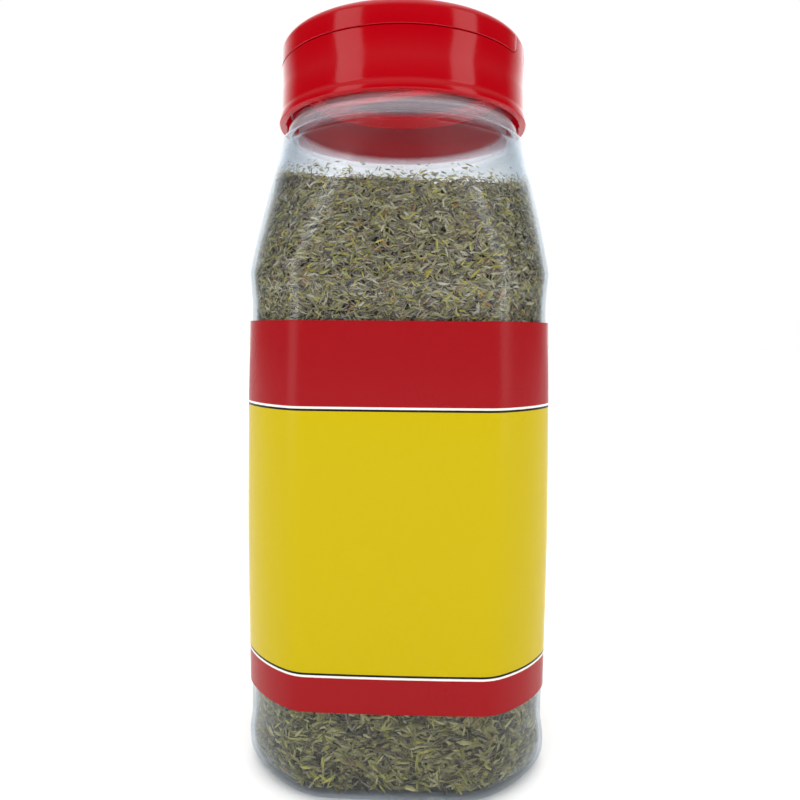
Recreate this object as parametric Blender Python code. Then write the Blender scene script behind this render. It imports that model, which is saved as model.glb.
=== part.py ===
"""A one-litre clear jar of dried thyme: a square blown jar with a round screw neck, the loose leaves that
fill it, a wrapped label, and a red screw cap whose two flaps open over shaker holes and a pouring opening.
Metres, +Z up, standing on its base with the origin at the base's centre. The front faces -Y."""

import functools
import math
import random

import bmesh
import bpy
import numpy as np
from mathutils import Matrix, Vector

# Clearance between pieces that touch on the real object
GAP = 0.0003

# Jar walls: (height, half width, corner width) of the outside, from the foot to the start of the shoulder
WALL_STATIONS = (
    (0.0000, 0.0388, 0.0227),
    (0.0010, 0.0401, 0.0241),
    (0.0035, 0.04095, 0.0234),
    (0.0085, 0.04055, 0.0203),
    (0.0138, 0.0398, 0.0188),
    (0.0185, 0.03985, 0.0188),
    (0.0700, 0.04045, 0.0184),
    (0.0982, 0.04037, 0.0184),
    (0.1240, 0.04005, 0.0184),
    (0.1335, 0.04060, 0.0184),
)
INNER_STATIONS = (3, 5, 6, 8, 9)
WALL_CROWN = 0.0003
WALL = 0.0010
AROUND = 44

# A corner bends tighter for its first and last 30 degrees than in its middle
CORNER_BEND = math.radians(30)
CORNER_TIGHTER = 0.40
CORNER_FULL_AT = 0.020

# Shoulder: from the rounded square to the round rim under the neck
SHOULDER_FOOT = 0.1335
SHOULDER_RIM = 0.1720
RIM_RADIUS = 0.0368
SHOULDER_RINGS = 5

# Neck finish
NECK_ROOT = 0.1750
NECK_RADIUS = 0.0332
NECK_BORE = 0.0312
NECK_TOP = 0.1915
BEAD_RADIUS = 0.0342
BEAD_LOW, BEAD_HIGH = 0.1760, 0.1776
THREAD_FOOT = 0.1803
THREAD_PITCH = 0.0042
THREAD_TURNS = 1.25
THREAD_CENTRE = 0.0333
THREAD_TUBE = 0.0011
THREAD_POINTS_PER_TURN = 14

# Foot: the jar stands on a flat ring round a shallow push-up
STANDING_RING = 0.0040
PUSH_UP_HEIGHTS = (0.0022, 0.0036)
PUSH_UP_HALVES = (0.0240, 0.0110)

# Label: a strip wrapped once round the wall, its ends a little apart at the back
LABEL_BOTTOM = 0.0227
LABEL_TOP = 0.1206
LABEL_THICKNESS = 0.0003
SEAM_GAP = 0.0020

# Thyme
FILL_FOOT = 0.0048
FOOT_CLEAR = 0.0052
FILL_LEVEL = 0.1588
FILL_TILT = -0.046
FILL_MOUND = 0.0012
FILL_SADDLE = 0.0027
LEAF_CLEARANCE = 0.0007
LEAF_PROUD = 0.0011
LEAF_ROOT = 0.0009
LEAF_LENGTHS = (0.0068, 0.0096)
LEAF_SLENDER = 0.33
WALL_EDGE = -0.00012
TOP_EDGE = 0.00030
WALL_LEAVES = 32
RIM_LEAVES = 22
TOP_LEAVES = 36
LEAF_SPACING = 0.0031
LEAF_SEED = 11

# The heap's skin: rows of leaf-shaped facets, each with a raised middle, up the wall and over the top
SKIN_AROUND = 22
SKIN_ROW = 0.0031
SKIN_TOP_SHARES = (0.88, 0.74, 0.60, 0.46, 0.32, 0.18)
SKIN_SINK = 0.0005
SKIN_JITTER = 0.30

# Cap
CAP_RADIUS = 0.0363
CAP_FLARE = 0.0006
CAP_BOTTOM = 0.1785
CAP_BORE = 0.0348
CAP_STEP = 0.1865
PARTING = 0.1946
CAP_TOP = 0.2018
CAP_EDGE = 0.0026
CAP_STEPS = 48
DECK_TOP = 0.1936
DECK_UNDER = 0.1920
DECK_RIM = 0.0336
SEAL_OUTER, SEAL_INNER = 0.0307, 0.0296
SEAL_DEPTH = 0.0025
LID_WALL = 0.0013

# The fixed bridge crosses the cap between the flaps, turned from +X by this angle
BRIDGE_TURN = math.radians(-22)
BRIDGE_HALF = 0.0041
BRIDGE_FILLET = 0.0022
BRIDGE_WALL = 0.0014

# Shaker holes, in rows parallel to the bridge, and the pouring opening
SHAKER_RADIUS = 0.0018
SHAKER_ROWS = ((0.0115, 3), (0.0185, 4), (0.0255, 3))
SHAKER_SPACING = 0.0085
POUR_NEAR, POUR_FAR = 0.0075, 0.0275

# The flaps swing about lines at the top face, beside the bridge
HINGE_HEIGHT = CAP_TOP

COLOURS = {
    "clear PET": ((0.86, 0.92, 0.94, 1.0), 0.05),
    "dried thyme": ((0.17, 0.16, 0.08, 1.0), 0.85),
    "label paper": ((0.66, 0.51, 0.01, 1.0), 0.40),
    "red cap plastic": ((0.52, 0.005, 0.01, 1.0), 0.28),
}


def material(name):
    """The Principled material of this name, made on first use."""
    found = bpy.data.materials.get(name)
    if found:
        return found
    colour, roughness = COLOURS[name]
    made = bpy.data.materials.new(name)
    made.use_nodes = True
    shader = made.node_tree.nodes["Principled BSDF"]
    shader.inputs["Base Color"].default_value = colour
    shader.inputs["Roughness"].default_value = roughness
    shader.inputs["Metallic"].default_value = 0.0
    if name == "clear PET":
        shader.inputs["Transmission Weight"].default_value = 1.0
        shader.inputs["IOR"].default_value = 1.57
    return made


def add_object(name, bm, material_name=None):
    """Closes the bmesh into an object in the scene, its faces facing out."""
    bmesh.ops.recalc_face_normals(bm, faces=bm.faces)
    mesh = bpy.data.meshes.new(name)
    bm.to_mesh(mesh)
    bm.free()
    if material_name:
        mesh.materials.append(material(material_name))
    made = bpy.data.objects.new(name, mesh)
    bpy.context.scene.collection.objects.link(made)
    return made


def corner_curve(corner, square):
    """Points of a quarter turn from (0, 0) to (corner, corner): a round arc where square is 0, and one with a
    flatter middle where it is 1."""
    ends_share = math.sin(CORNER_BEND) + 1 - math.cos(CORNER_BEND)
    tight = corner * (1 - CORNER_TIGHTER * square)
    broad = (corner - tight * ends_share) / (1 - ends_share)
    angles = np.radians(np.arange(0, 91, 5))
    middles = (angles[:-1] + angles[1:]) / 2
    radii = np.where(np.abs(middles - math.pi / 4) < math.pi / 4 - CORNER_BEND, broad, tight)
    across = np.concatenate([[0], np.cumsum(radii * np.diff(np.sin(angles)))])
    back = np.concatenate([[0], np.cumsum(-radii * np.diff(np.cos(angles)))])
    return across, back


def rounded_square(half, corner, crown, count=AROUND):
    """Evenly spaced points (x, y) of a square with round corners and crowned sides, anticlockwise from the
    middle of its front. With the corner as wide as half the square it is a circle."""
    flat = half - corner
    across, back = corner_curve(corner, min(flat / CORNER_FULL_AT, 1.0))
    side = [(s * flat, -(half + crown * (1 - s * s))) for s in np.linspace(-1, 1, 17)]
    arc = [(flat + x, -half + y) for x, y in zip(across, back)]
    outline = []
    for quarter in range(4):
        turn = quarter * math.pi / 2
        for x, y in side + arc[1:-1]:
            outline.append(
                (x * math.cos(turn) - y * math.sin(turn), x * math.sin(turn) + y * math.cos(turn))
            )
    outline = np.roll(np.array(outline), -8, axis=0)
    outline = np.vstack([outline, outline[:1]])
    along = np.concatenate([[0], np.cumsum(np.hypot(*np.diff(outline, axis=0).T))])
    stops = np.arange(count) * along[-1] / count
    return np.column_stack([np.interp(stops, along, outline[:, axis]) for axis in (0, 1)])


def jar_section(height):
    """Half width, corner width and crown of the jar's outside at a height below the shoulder's rim."""
    if height <= SHOULDER_FOOT:
        heights, halves, corners = zip(*WALL_STATIONS)
        return np.interp(height, heights, halves), np.interp(height, heights, corners), WALL_CROWN
    rise = min((height - SHOULDER_FOOT) / (SHOULDER_RIM - SHOULDER_FOOT), 1.0)
    shoulder_half, shoulder_corner = WALL_STATIONS[-1][1:]
    half = shoulder_half + (RIM_RADIUS - shoulder_half) * rise**1.35
    corner = shoulder_corner + (half - shoulder_corner) * rise**1.1
    return half, corner, WALL_CROWN * (1 - rise)


def jar_ring(height, inset=0.0, count=AROUND):
    """Points of the jar's section at a height, moved in by inset."""
    half, corner, crown = jar_section(height)
    plan = rounded_square(half - inset, max(corner - inset, 0.001), crown, count)
    return [Vector((x, y, height)) for x, y in plan]


def round_ring(radius, height, count=AROUND):
    """Points of a circle about the jar's axis."""
    return [Vector((x, y, height)) for x, y in rounded_square(radius, radius, 0.0, count)]


def skin(bm, rings, caps=True):
    """Bridges the rings one after another, and closes the first and the last."""
    loops = [[bm.verts.new(point) for point in ring] for ring in rings]
    edges = [[bm.edges.new(pair) for pair in zip(loop, loop[1:] + loop[:1])] for loop in loops]
    for lower, upper in zip(edges, edges[1:]):
        bmesh.ops.bridge_loops(bm, edges=lower + upper)
    if caps:
        bm.faces.new(loops[0])
        bm.faces.new(loops[-1])


def lathe(name, profile, material_name=None, steps=CAP_STEPS):
    """Turns a closed profile of (radius, height) points about Z. Points on the axis become poles."""
    bm = bmesh.new()
    verts = [bm.verts.new((radius, 0.0, height)) for radius, height in profile]
    edges = [bm.edges.new(pair) for pair in zip(verts, verts[1:] + verts[:1])]
    bmesh.ops.spin(
        bm, geom=verts + edges, cent=(0, 0, 0), axis=(0, 0, 1), angle=2 * math.pi, steps=steps,
        use_merge=True,
    )
    bmesh.ops.remove_doubles(bm, verts=bm.verts, dist=1e-6)
    bmesh.ops.dissolve_degenerate(bm, dist=1e-7, edges=bm.edges)
    return add_object(name, bm, material_name)


def block(name, low, high, turn=0.0):
    """A box between two corners, turned about Z."""
    bm = bmesh.new()
    bmesh.ops.create_cube(bm, size=1.0)
    low, high = Vector(low), Vector(high)
    size = high - low
    bm.transform(
        Matrix.Rotation(turn, 4, "Z") @ Matrix.Translation((low + high) / 2) @ Matrix.Diagonal((*size, 1))
    )
    return add_object(name, bm)


def prism(name, outline, start, end, turn=0.0):
    """An outline of (y, z) points extruded along X from start to end, then turned about Z."""
    bm = bmesh.new()
    face = bm.faces.new([bm.verts.new((start, y, z)) for y, z in outline])
    moved = bmesh.ops.extrude_face_region(bm, geom=[face])["geom"]
    bmesh.ops.translate(
        bm, vec=(end - start, 0, 0), verts=[v for v in moved if isinstance(v, bmesh.types.BMVert)]
    )
    bm.transform(Matrix.Rotation(turn, 4, "Z"))
    return add_object(name, bm)


def drum(name, radius, low, high, centre, sides=12):
    """A straight round cutter."""
    bm = bmesh.new()
    bmesh.ops.create_cone(
        bm, cap_ends=True, segments=sides, radius1=radius, radius2=radius, depth=high - low,
        matrix=Matrix.Translation((*centre, (low + high) / 2)),
    )
    return add_object(name, bm)


def evaluated_mesh(source):
    """The object's mesh with its modifiers applied."""
    bpy.context.view_layer.update()
    graph = bpy.context.evaluated_depsgraph_get()
    return bpy.data.meshes.new_from_object(source.evaluated_get(graph))


def combine(target, tools, operation, solver="EXACT"):
    """Applies one Boolean of the target with each tool in turn, and removes the tools."""
    for tool in tools:
        modifier = target.modifiers.new(operation.title(), "BOOLEAN")
        modifier.operation = operation
        modifier.solver = solver
        modifier.object = tool
        result = evaluated_mesh(target)
        target.modifiers.clear()
        target.data = result
        bpy.data.objects.remove(tool)


def place_origin(piece, origin):
    """Puts the piece's origin at a point without moving the piece."""
    piece.data.transform(Matrix.Translation(-Vector(origin)))
    piece.location = origin


def smooth(piece, angle):
    """Shades the piece smooth, with sharp edges past the angle."""
    piece.data.shade_smooth()
    piece.data.set_sharp_from_angle(angle=math.radians(angle))


def foot_ring(half, height):
    """A ring of the underside, a smaller copy of the foot's outline."""
    foot_half, foot_corner = WALL_STATIONS[0][1:]
    share = half / foot_half
    plan = rounded_square(half, foot_corner * share, WALL_CROWN * share)
    return [Vector((x, y, height)) for x, y in plan]


def thread():
    """The helical thread of the neck, a tube with its ends drawn in."""
    curve = bpy.data.curves.new("thread", "CURVE")
    curve.dimensions = "3D"
    curve.bevel_depth = THREAD_TUBE
    curve.bevel_resolution = 1
    curve.use_fill_caps = True
    count = round(THREAD_TURNS * THREAD_POINTS_PER_TURN) + 1
    spline = curve.splines.new("POLY")
    spline.points.add(count - 1)
    for index, point in enumerate(spline.points):
        share = index / (count - 1)
        angle = share * THREAD_TURNS * 2 * math.pi
        height = THREAD_FOOT + share * THREAD_TURNS * THREAD_PITCH
        point.co = (THREAD_CENTRE * math.cos(angle), THREAD_CENTRE * math.sin(angle), height, 1.0)
        point.radius = min(1.0, 0.35 + 12 * min(share, 1 - share))
    guide = bpy.data.objects.new("thread guide", curve)
    bpy.context.scene.collection.objects.link(guide)
    solid = bpy.data.objects.new("thread", evaluated_mesh(guide))
    bpy.context.scene.collection.objects.link(solid)
    bpy.data.objects.remove(guide)
    return solid


def make_jar():
    """The blown jar up to the root of its neck: one wall of even thickness, from the push-up out, up the
    outside and down the inside."""
    shoulder = [
        SHOULDER_FOOT + (SHOULDER_RIM - SHOULDER_FOOT) * step / SHOULDER_RINGS
        for step in range(1, SHOULDER_RINGS + 1)
    ]
    foot_half = WALL_STATIONS[0][1]
    under = [foot_ring(half, z) for half, z in zip(PUSH_UP_HALVES[::-1], PUSH_UP_HEIGHTS[::-1])]
    under.append(foot_ring(foot_half - STANDING_RING, 0.0))
    outside = [jar_ring(station[0]) for station in WALL_STATIONS] + [jar_ring(z) for z in shoulder]
    root = [
        round_ring(RIM_RADIUS - 0.0008, SHOULDER_RIM + 0.0014),
        round_ring(NECK_RADIUS + 0.0012, NECK_ROOT - 0.0004),
        round_ring(NECK_RADIUS, NECK_ROOT),
        round_ring(NECK_BORE, NECK_ROOT),
        round_ring(NECK_BORE, NECK_ROOT - 0.0005),
        round_ring(NECK_BORE + 0.0012, NECK_ROOT - 0.0016),
    ]
    inner_walls = [WALL_STATIONS[index][0] for index in INNER_STATIONS] + shoulder
    inside = [jar_ring(z - (0.0004 if z > SHOULDER_FOOT else 0), WALL) for z in reversed(inner_walls)]
    inside.append(jar_ring(0.0035, WALL + 0.0003))
    inside.append(foot_ring(foot_half - 0.0012, 0.0013))
    inside.append(foot_ring(foot_half - STANDING_RING - 0.0004, WALL))
    inside += [foot_ring(half, z + WALL) for half, z in zip(PUSH_UP_HALVES, PUSH_UP_HEIGHTS)]
    bm = bmesh.new()
    skin(bm, under + outside + root + inside)
    jar = add_object("jar", bm, "clear PET")
    smooth(jar, 40)
    return jar


def make_neck(jar):
    """The jar's neck finish, an open ring with its bead and its thread. It is the same moulding as the jar,
    kept as a solid of its own so that its bore stays open."""
    profile = [
        (NECK_RADIUS, NECK_TOP),
        (NECK_RADIUS, BEAD_HIGH),
        (BEAD_RADIUS, BEAD_HIGH - 0.0003),
        (BEAD_RADIUS, BEAD_LOW + 0.0003),
        (NECK_RADIUS, BEAD_LOW),
        (NECK_RADIUS, NECK_ROOT + GAP),
        (NECK_BORE, NECK_ROOT + GAP),
        (NECK_BORE, NECK_TOP),
    ]
    neck = lathe("jar_neck", profile, "clear PET", AROUND)
    combine(neck, [thread()], "UNION")
    smooth(neck, 40)
    neck.parent = jar
    return neck


def make_label(jar):
    """A flat strip bent round the wall, thickened outwards."""
    heights = [LABEL_BOTTOM] + [s[0] for s in WALL_STATIONS if LABEL_BOTTOM < s[0] < LABEL_TOP] + [LABEL_TOP]
    bm = bmesh.new()
    columns = []
    for height in heights:
        ring = jar_ring(height, -GAP)
        back = AROUND // 2
        strip = ring[back:] + ring[:back] + [ring[back]]
        for end, beside in ((0, 1), (-1, -2)):
            away = (strip[beside] - strip[end]).normalized()
            strip[end] = strip[end] + away * SEAM_GAP / 2
        columns.append([bm.verts.new(point) for point in strip])
    for lower, upper in zip(columns, columns[1:]):
        for index in range(AROUND):
            bm.faces.new((lower[index], lower[index + 1], upper[index + 1], upper[index]))
    mesh = bpy.data.meshes.new("label")
    bm.to_mesh(mesh)
    bm.free()
    mesh.materials.append(material("label paper"))
    label = bpy.data.objects.new("label", mesh)
    bpy.context.scene.collection.objects.link(label)
    thicken = label.modifiers.new("Thickness", "SOLIDIFY")
    thicken.thickness = LABEL_THICKNESS
    thicken.offset = 1.0
    label.parent = jar
    smooth(label, 40)
    return label


def fill_top(x, y):
    """Height of the heap's top at (x, y): a low mound, higher at the sides than at front and back, leaning
    to one side and a little uneven."""
    side, depth = x / RIM_RADIUS, y / RIM_RADIUS
    mound = FILL_MOUND * (1 - side * side - depth * depth) + FILL_SADDLE * (side * side - depth * depth)
    ripple = 0.0007 * math.sin(170 * x + 40 * y) * math.cos(120 * y - 60 * x)
    return FILL_LEVEL + FILL_TILT * x + 0.02 * y + mound + ripple


CORE_INSET = WALL + LEAF_CLEARANCE + LEAF_PROUD


def surface_point(share, height, proud):
    """A point over the heap's side: share of the way round, height, and distance out from the core."""
    half, corner, crown = jar_section(height)
    inset = CORE_INSET - proud
    plan = rounded_square(half - inset, corner - inset, crown)
    place = (share % 1.0) * AROUND
    index = int(place)
    start, end = plan[index], plan[(index + 1) % AROUND]
    x, y = start + (end - start) * (place - index)
    return Vector((x, y, height))


def leaf_corners(length, edge):
    """A leaf as (along, across, out) points: six round its edge, one on its back and one at its root."""
    half = length * LEAF_SLENDER / 2
    return (
        (-0.50 * length, 0.0, edge),
        (-0.20 * length, -half, edge),
        (0.16 * length, -0.9 * half, edge),
        (0.50 * length, 0.0, edge),
        (0.16 * length, 0.9 * half, edge),
        (-0.20 * length, half, edge),
        (-0.04 * length, 0.0, LEAF_PROUD),
        (0.0, 0.0, -LEAF_ROOT),
    )


class Spacing:
    """Remembers where leaves lie on a flat map, and refuses one that would cross another."""

    def __init__(self):
        self.taken = []

    def fits(self, along, up, turn, length):
        """Whether a leaf at this place and turn is clear of the ones placed so far, and if so notes it."""
        marks = [
            (along + share * length * math.cos(turn), up + share * length * math.sin(turn))
            for share in (-0.34, 0.0, 0.34)
        ]
        if any(math.dist(mark, old) < LEAF_SPACING for mark in marks for old in self.taken):
            return False
        self.taken += marks
        return True


def add_leaf(points, collection):
    """A closed leaf over eight points, linked to the collection."""
    bm = bmesh.new()
    verts = [bm.verts.new(point) for point in points]
    rim, back, root = verts[:6], verts[6], verts[7]
    for first, second in zip(rim, rim[1:] + rim[:1]):
        bm.faces.new((first, second, back))
        bm.faces.new((second, first, root))
    leaf = add_object("leaf", bm)
    bpy.context.scene.collection.objects.unlink(leaf)
    collection.objects.link(leaf)


def wall_leaf(draw, collection, spacing, place):
    """A leaf pressed flat against the wall, at the first place drawn that is clear of the others."""
    for _ in range(60):
        share, height, turn = place()
        half, corner, _ = jar_section(height)
        perimeter = 8 * (half - corner) + 2 * math.pi * corner
        length = draw.uniform(*LEAF_LENGTHS)
        if spacing.fits(share * perimeter, height, turn, length):
            break
    else:
        return
    points = []
    for along, across, out in leaf_corners(length, WALL_EDGE):
        sideways = along * math.cos(turn) - across * math.sin(turn)
        upwards = along * math.sin(turn) + across * math.cos(turn)
        points.append(surface_point(share + sideways / perimeter, height + upwards, out))
    add_leaf(points, collection)


@functools.lru_cache(maxsize=None)
def room_inside(half_millimetres):
    """The reach of the space for leaves in each direction from the axis, at a height in half millimetres."""
    half, corner, crown = jar_section(half_millimetres * 0.0005)
    inset = WALL + LEAF_CLEARANCE
    plan = rounded_square(half - inset, corner - inset, crown, 4 * AROUND)
    return np.arctan2(plan[:, 1], plan[:, 0]), np.hypot(plan[:, 0], plan[:, 1])


def inside_wall(point):
    """Whether a point keeps the leaves' clearance from the jar's wall."""
    directions, reaches = room_inside(math.ceil(point.z / 0.0005))
    reach = np.interp(math.atan2(point.y, point.x), directions, reaches, period=2 * math.pi)
    return math.hypot(point.x, point.y) < reach


def top_leaf(draw, collection, spacing):
    """A leaf lying loosely on the heap, at any angle, clear of the wall and of the others."""
    for _ in range(200):
        x, y = draw.uniform(-0.036, 0.036), draw.uniform(-0.036, 0.036)
        angle, length = draw.uniform(0, 2 * math.pi), draw.uniform(*LEAF_LENGTHS)
        turn = Matrix.Rotation(angle, 3, "Z")
        lean = Matrix.Rotation(draw.gauss(0, 0.32), 3, "Y") @ Matrix.Rotation(draw.gauss(0, 0.25), 3, "X")
        centre = Vector((x, y, fill_top(x, y)))
        points = [centre + turn @ lean @ Vector(corner) for corner in leaf_corners(length, TOP_EDGE)]
        if all(inside_wall(point) for point in points) and spacing.fits(x, y, angle, length):
            add_leaf(points, collection)
            return


def keep_outer_shell(mesh):
    """Drops the small shells that fusing leaves behind: sealed hollows between leaves, and loose scraps."""
    bm = bmesh.new()
    bm.from_mesh(mesh)
    shells = []
    unseen = set(bm.verts)
    while unseen:
        shell, edge = set(), [unseen.pop()]
        while edge:
            vert = edge.pop()
            shell.add(vert)
            beside = {link.other_vert(vert) for link in vert.link_edges} & unseen
            unseen -= beside
            edge.extend(beside)
        shells.append(shell)
    shells.sort(key=len)
    for shell in shells[:-1]:
        bmesh.ops.delete(bm, geom=list(shell), context="VERTS")
    bm.to_mesh(mesh)
    bm.free()


def skin_stations():
    """Where each row of facets runs, from the foot up the wall and over the top to the middle: a function of
    the share of the way round, how far along towards the next row, and how proud it stands."""
    rows = round((FILL_LEVEL - FILL_FOOT) / SKIN_ROW)

    def on_wall(row):
        def point(share, along, proud):
            top = edge_height(share)
            height = FILL_FOOT + (top - FILL_FOOT) * min((row + along) / rows, 1.0)
            return surface_point(share, height, proud)

        return point

    def on_top(inner):
        def point(share, along, proud):
            edge = surface_point(share, edge_height(share), 0.0)
            x, y = edge.x * (inner - 0.05 * along), edge.y * (inner - 0.05 * along)
            return Vector((x, y, fill_top(x, y) + proud))

        return point

    return [on_wall(row) for row in range(rows + 1)] + [on_top(inner) for inner in SKIN_TOP_SHARES]


def edge_height(share):
    """Height of the heap's edge where it meets the wall."""
    near = surface_point(share, FILL_LEVEL, 0.0)
    return fill_top(near.x, near.y)


def make_core(draw):
    """The packed inside of the heap. Its skin is rows of leaf-shaped facets, jogged by half a leaf from row
    to row, with uneven corners and a raised middle, and the loose leaves stand out of it."""
    bm = bmesh.new()
    stations = skin_stations()
    rows = []
    for row, station in enumerate(stations):
        first_or_last = row in (0, len(stations) - 1)
        ring = []
        for index in range(SKIN_AROUND):
            share = (index + 0.5 * (row % 2) + draw.uniform(-SKIN_JITTER, SKIN_JITTER)) / SKIN_AROUND
            along = 0.0 if first_or_last else draw.uniform(-SKIN_JITTER, SKIN_JITTER)
            ring.append(bm.verts.new(station(share, along, -draw.uniform(0, SKIN_SINK))))
        rows.append(ring)
    for row in range(1, len(rows) - 1):
        for index in range(SKIN_AROUND):
            after = (index + 1) % SKIN_AROUND
            beside = after if row % 2 else index
            left, right = rows[row][index], rows[row][after]
            below, above = rows[row - 1][beside], rows[row + 1][beside]
            share = (index + 0.5 + 0.5 * (row % 2)) / SKIN_AROUND
            middle = bm.verts.new(stations[row](share, 0.0, draw.uniform(0.35, 0.8) * LEAF_PROUD))
            for start, end in ((left, below), (below, right), (right, above), (above, left)):
                bm.faces.new((start, end, middle))
    for row, inner in ((0, 1), (len(rows) - 1, len(rows) - 2)):
        for index in range(SKIN_AROUND):
            after = (index + 1) % SKIN_AROUND
            beside = after if row % 2 else index
            bm.faces.new((rows[row][index], rows[row][after], rows[inner][beside]))
    bm.faces.new(rows[-1])
    under = [[bm.verts.new((v.co.x * 0.62, v.co.y * 0.62, FOOT_CLEAR)) for v in rows[0]]]
    edges = [bm.edges.new((a, b)) for a, b in zip(under[0], under[0][1:] + under[0][:1])]
    bottom = [bm.edges.get((a, b)) for a, b in zip(rows[0], rows[0][1:] + rows[0][:1])]
    bmesh.ops.bridge_loops(bm, edges=edges + bottom)
    bm.faces.new(under[0])
    return add_object("thyme", bm, "dried thyme")


def make_thyme(jar):
    """The heap of leaves, fused into one body."""
    draw = random.Random(LEAF_SEED)
    thyme = make_core(draw)
    leaves = bpy.data.collections.new("leaves")
    bpy.context.scene.collection.children.link(leaves)
    on_wall, on_top = Spacing(), Spacing()

    def at_rim():
        share = draw.random()
        x, y, _ = surface_point(share, FILL_LEVEL, 0.0)
        height = fill_top(x, y) - draw.uniform(0.0008, 0.0024)
        return share, height, draw.uniform(0.15, math.pi - 0.15)

    def anywhere():
        height = draw.uniform(FILL_FOOT + 0.0055, FILL_LEVEL - 0.006)
        return draw.random(), height, draw.uniform(0, math.pi)

    for count, place in ((RIM_LEAVES, at_rim), (WALL_LEAVES, anywhere)):
        for _ in range(count):
            wall_leaf(draw, leaves, on_wall, place)
    for _ in range(TOP_LEAVES):
        top_leaf(draw, leaves, on_top)
    union = thyme.modifiers.new("Leaves", "BOOLEAN")
    union.operation = "UNION"
    union.operand_type = "COLLECTION"
    union.collection = leaves
    union.solver = "MANIFOLD"
    fused = evaluated_mesh(thyme)
    thyme.modifiers.clear()
    thyme.data = fused
    keep_outer_shell(fused)
    for leaf in list(leaves.objects):
        bpy.data.objects.remove(leaf)
    bpy.data.collections.remove(leaves)
    thyme.parent = jar
    return thyme


def lid_profile(low, inner):
    """Profile of the cap's top: a plate with a rounded edge on a rim wall down to low, or solid."""
    edge = [
        (
            CAP_RADIUS - CAP_EDGE + CAP_EDGE * math.cos(math.radians(angle)),
            CAP_TOP - CAP_EDGE + CAP_EDGE * math.sin(math.radians(angle)),
        )
        for angle in (0, 22.5, 45, 67.5, 90)
    ]
    outer = [(CAP_RADIUS, low)] + edge + [(0.0, CAP_TOP)]
    if not inner:
        return outer + [(0.0, low)]
    under = CAP_TOP - LID_WALL
    bore = CAP_RADIUS - LID_WALL
    return outer + [(0.0, under), (bore - 0.0012, under), (bore, under - 0.0012), (bore, low)]


def bridge_section(grow):
    """Points of the bridge's section: straight sides that curve outwards at the foot."""
    half = BRIDGE_HALF + grow
    foot = PARTING + grow
    side = [
        (
            half + BRIDGE_FILLET * (1 - math.sin(math.radians(angle))),
            foot + BRIDGE_FILLET * (1 - math.cos(math.radians(angle))),
        )
        for angle in (0, 30, 60, 90)
    ]
    low, high = DECK_UNDER + 0.0004, CAP_TOP + 0.002
    right = [(side[0][0], low)] + side + [(half, high)]
    return right + [(-y, z) for y, z in reversed(right)]


def make_cap():
    """Skirt, deck and bridge: the piece that screws on the neck."""
    profile = [
        (0.0, DECK_TOP),
        (DECK_RIM, DECK_TOP),
        (DECK_RIM + 0.0006, PARTING),
        (CAP_RADIUS, PARTING),
        (CAP_RADIUS, CAP_STEP + 0.0006),
        (CAP_RADIUS + 0.0002, CAP_STEP),
        (CAP_RADIUS + 0.0002, CAP_BOTTOM + 0.0026),
        (CAP_RADIUS + CAP_FLARE, CAP_BOTTOM + 0.0014),
        (CAP_RADIUS + CAP_FLARE, CAP_BOTTOM),
        (CAP_BORE, CAP_BOTTOM),
        (CAP_BORE, DECK_UNDER),
        (SEAL_OUTER, DECK_UNDER),
        (SEAL_OUTER, DECK_UNDER - SEAL_DEPTH),
        (SEAL_INNER, DECK_UNDER - SEAL_DEPTH),
        (SEAL_INNER, DECK_UNDER),
        (0.0, DECK_UNDER),
    ]
    cap = lathe("cap", profile, "red cap plastic")
    bridge = prism("bridge", bridge_section(0.0), -0.04, 0.04, BRIDGE_TURN)
    top = lathe("top", lid_profile(DECK_UNDER + 0.0004, inner=False))
    combine(bridge, [top], "INTERSECT")
    combine(cap, [bridge], "UNION")
    hollow = block(
        "hollow",
        (-SEAL_INNER + 0.001, -BRIDGE_HALF + BRIDGE_WALL, DECK_UNDER - 0.001),
        (SEAL_INNER - 0.001, BRIDGE_HALF - BRIDGE_WALL, CAP_TOP - BRIDGE_WALL),
        BRIDGE_TURN,
    )
    cuts = [hollow]
    across = Matrix.Rotation(BRIDGE_TURN, 2)
    for row, count in SHAKER_ROWS:
        for index in range(count):
            along = (index - (count - 1) / 2) * SHAKER_SPACING
            centre = across @ Vector((along, -row))
            cuts.append(drum("hole", SHAKER_RADIUS, DECK_UNDER - 0.001, DECK_TOP + 0.001, centre))
    cuts.append(pouring_cutter())
    combine(cap, cuts, "DIFFERENCE")
    smooth(cap, 35)
    place_origin(cap, (0, 0, CAP_BOTTOM))
    return cap


def pouring_cutter():
    """The D-shaped opening beyond the bridge: a segment of a circle with its straight side by the bridge."""
    reach = math.acos(POUR_NEAR / POUR_FAR)
    arc = [math.pi / 2 + reach * share for share in np.linspace(-1, 1, 15)]
    corners = [(POUR_FAR * math.cos(a), POUR_FAR * math.sin(a)) for a in arc]
    bm = bmesh.new()
    face = bm.faces.new([bm.verts.new((x, y, DECK_UNDER - 0.001)) for x, y in corners])
    moved = bmesh.ops.extrude_face_region(bm, geom=[face])["geom"]
    height = DECK_TOP - DECK_UNDER + 0.002
    bmesh.ops.translate(
        bm, vec=(0, 0, height), verts=[v for v in moved if isinstance(v, bmesh.types.BMVert)]
    )
    bm.transform(Matrix.Rotation(BRIDGE_TURN, 4, "Z"))
    return add_object("pouring cutter", bm)


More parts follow.
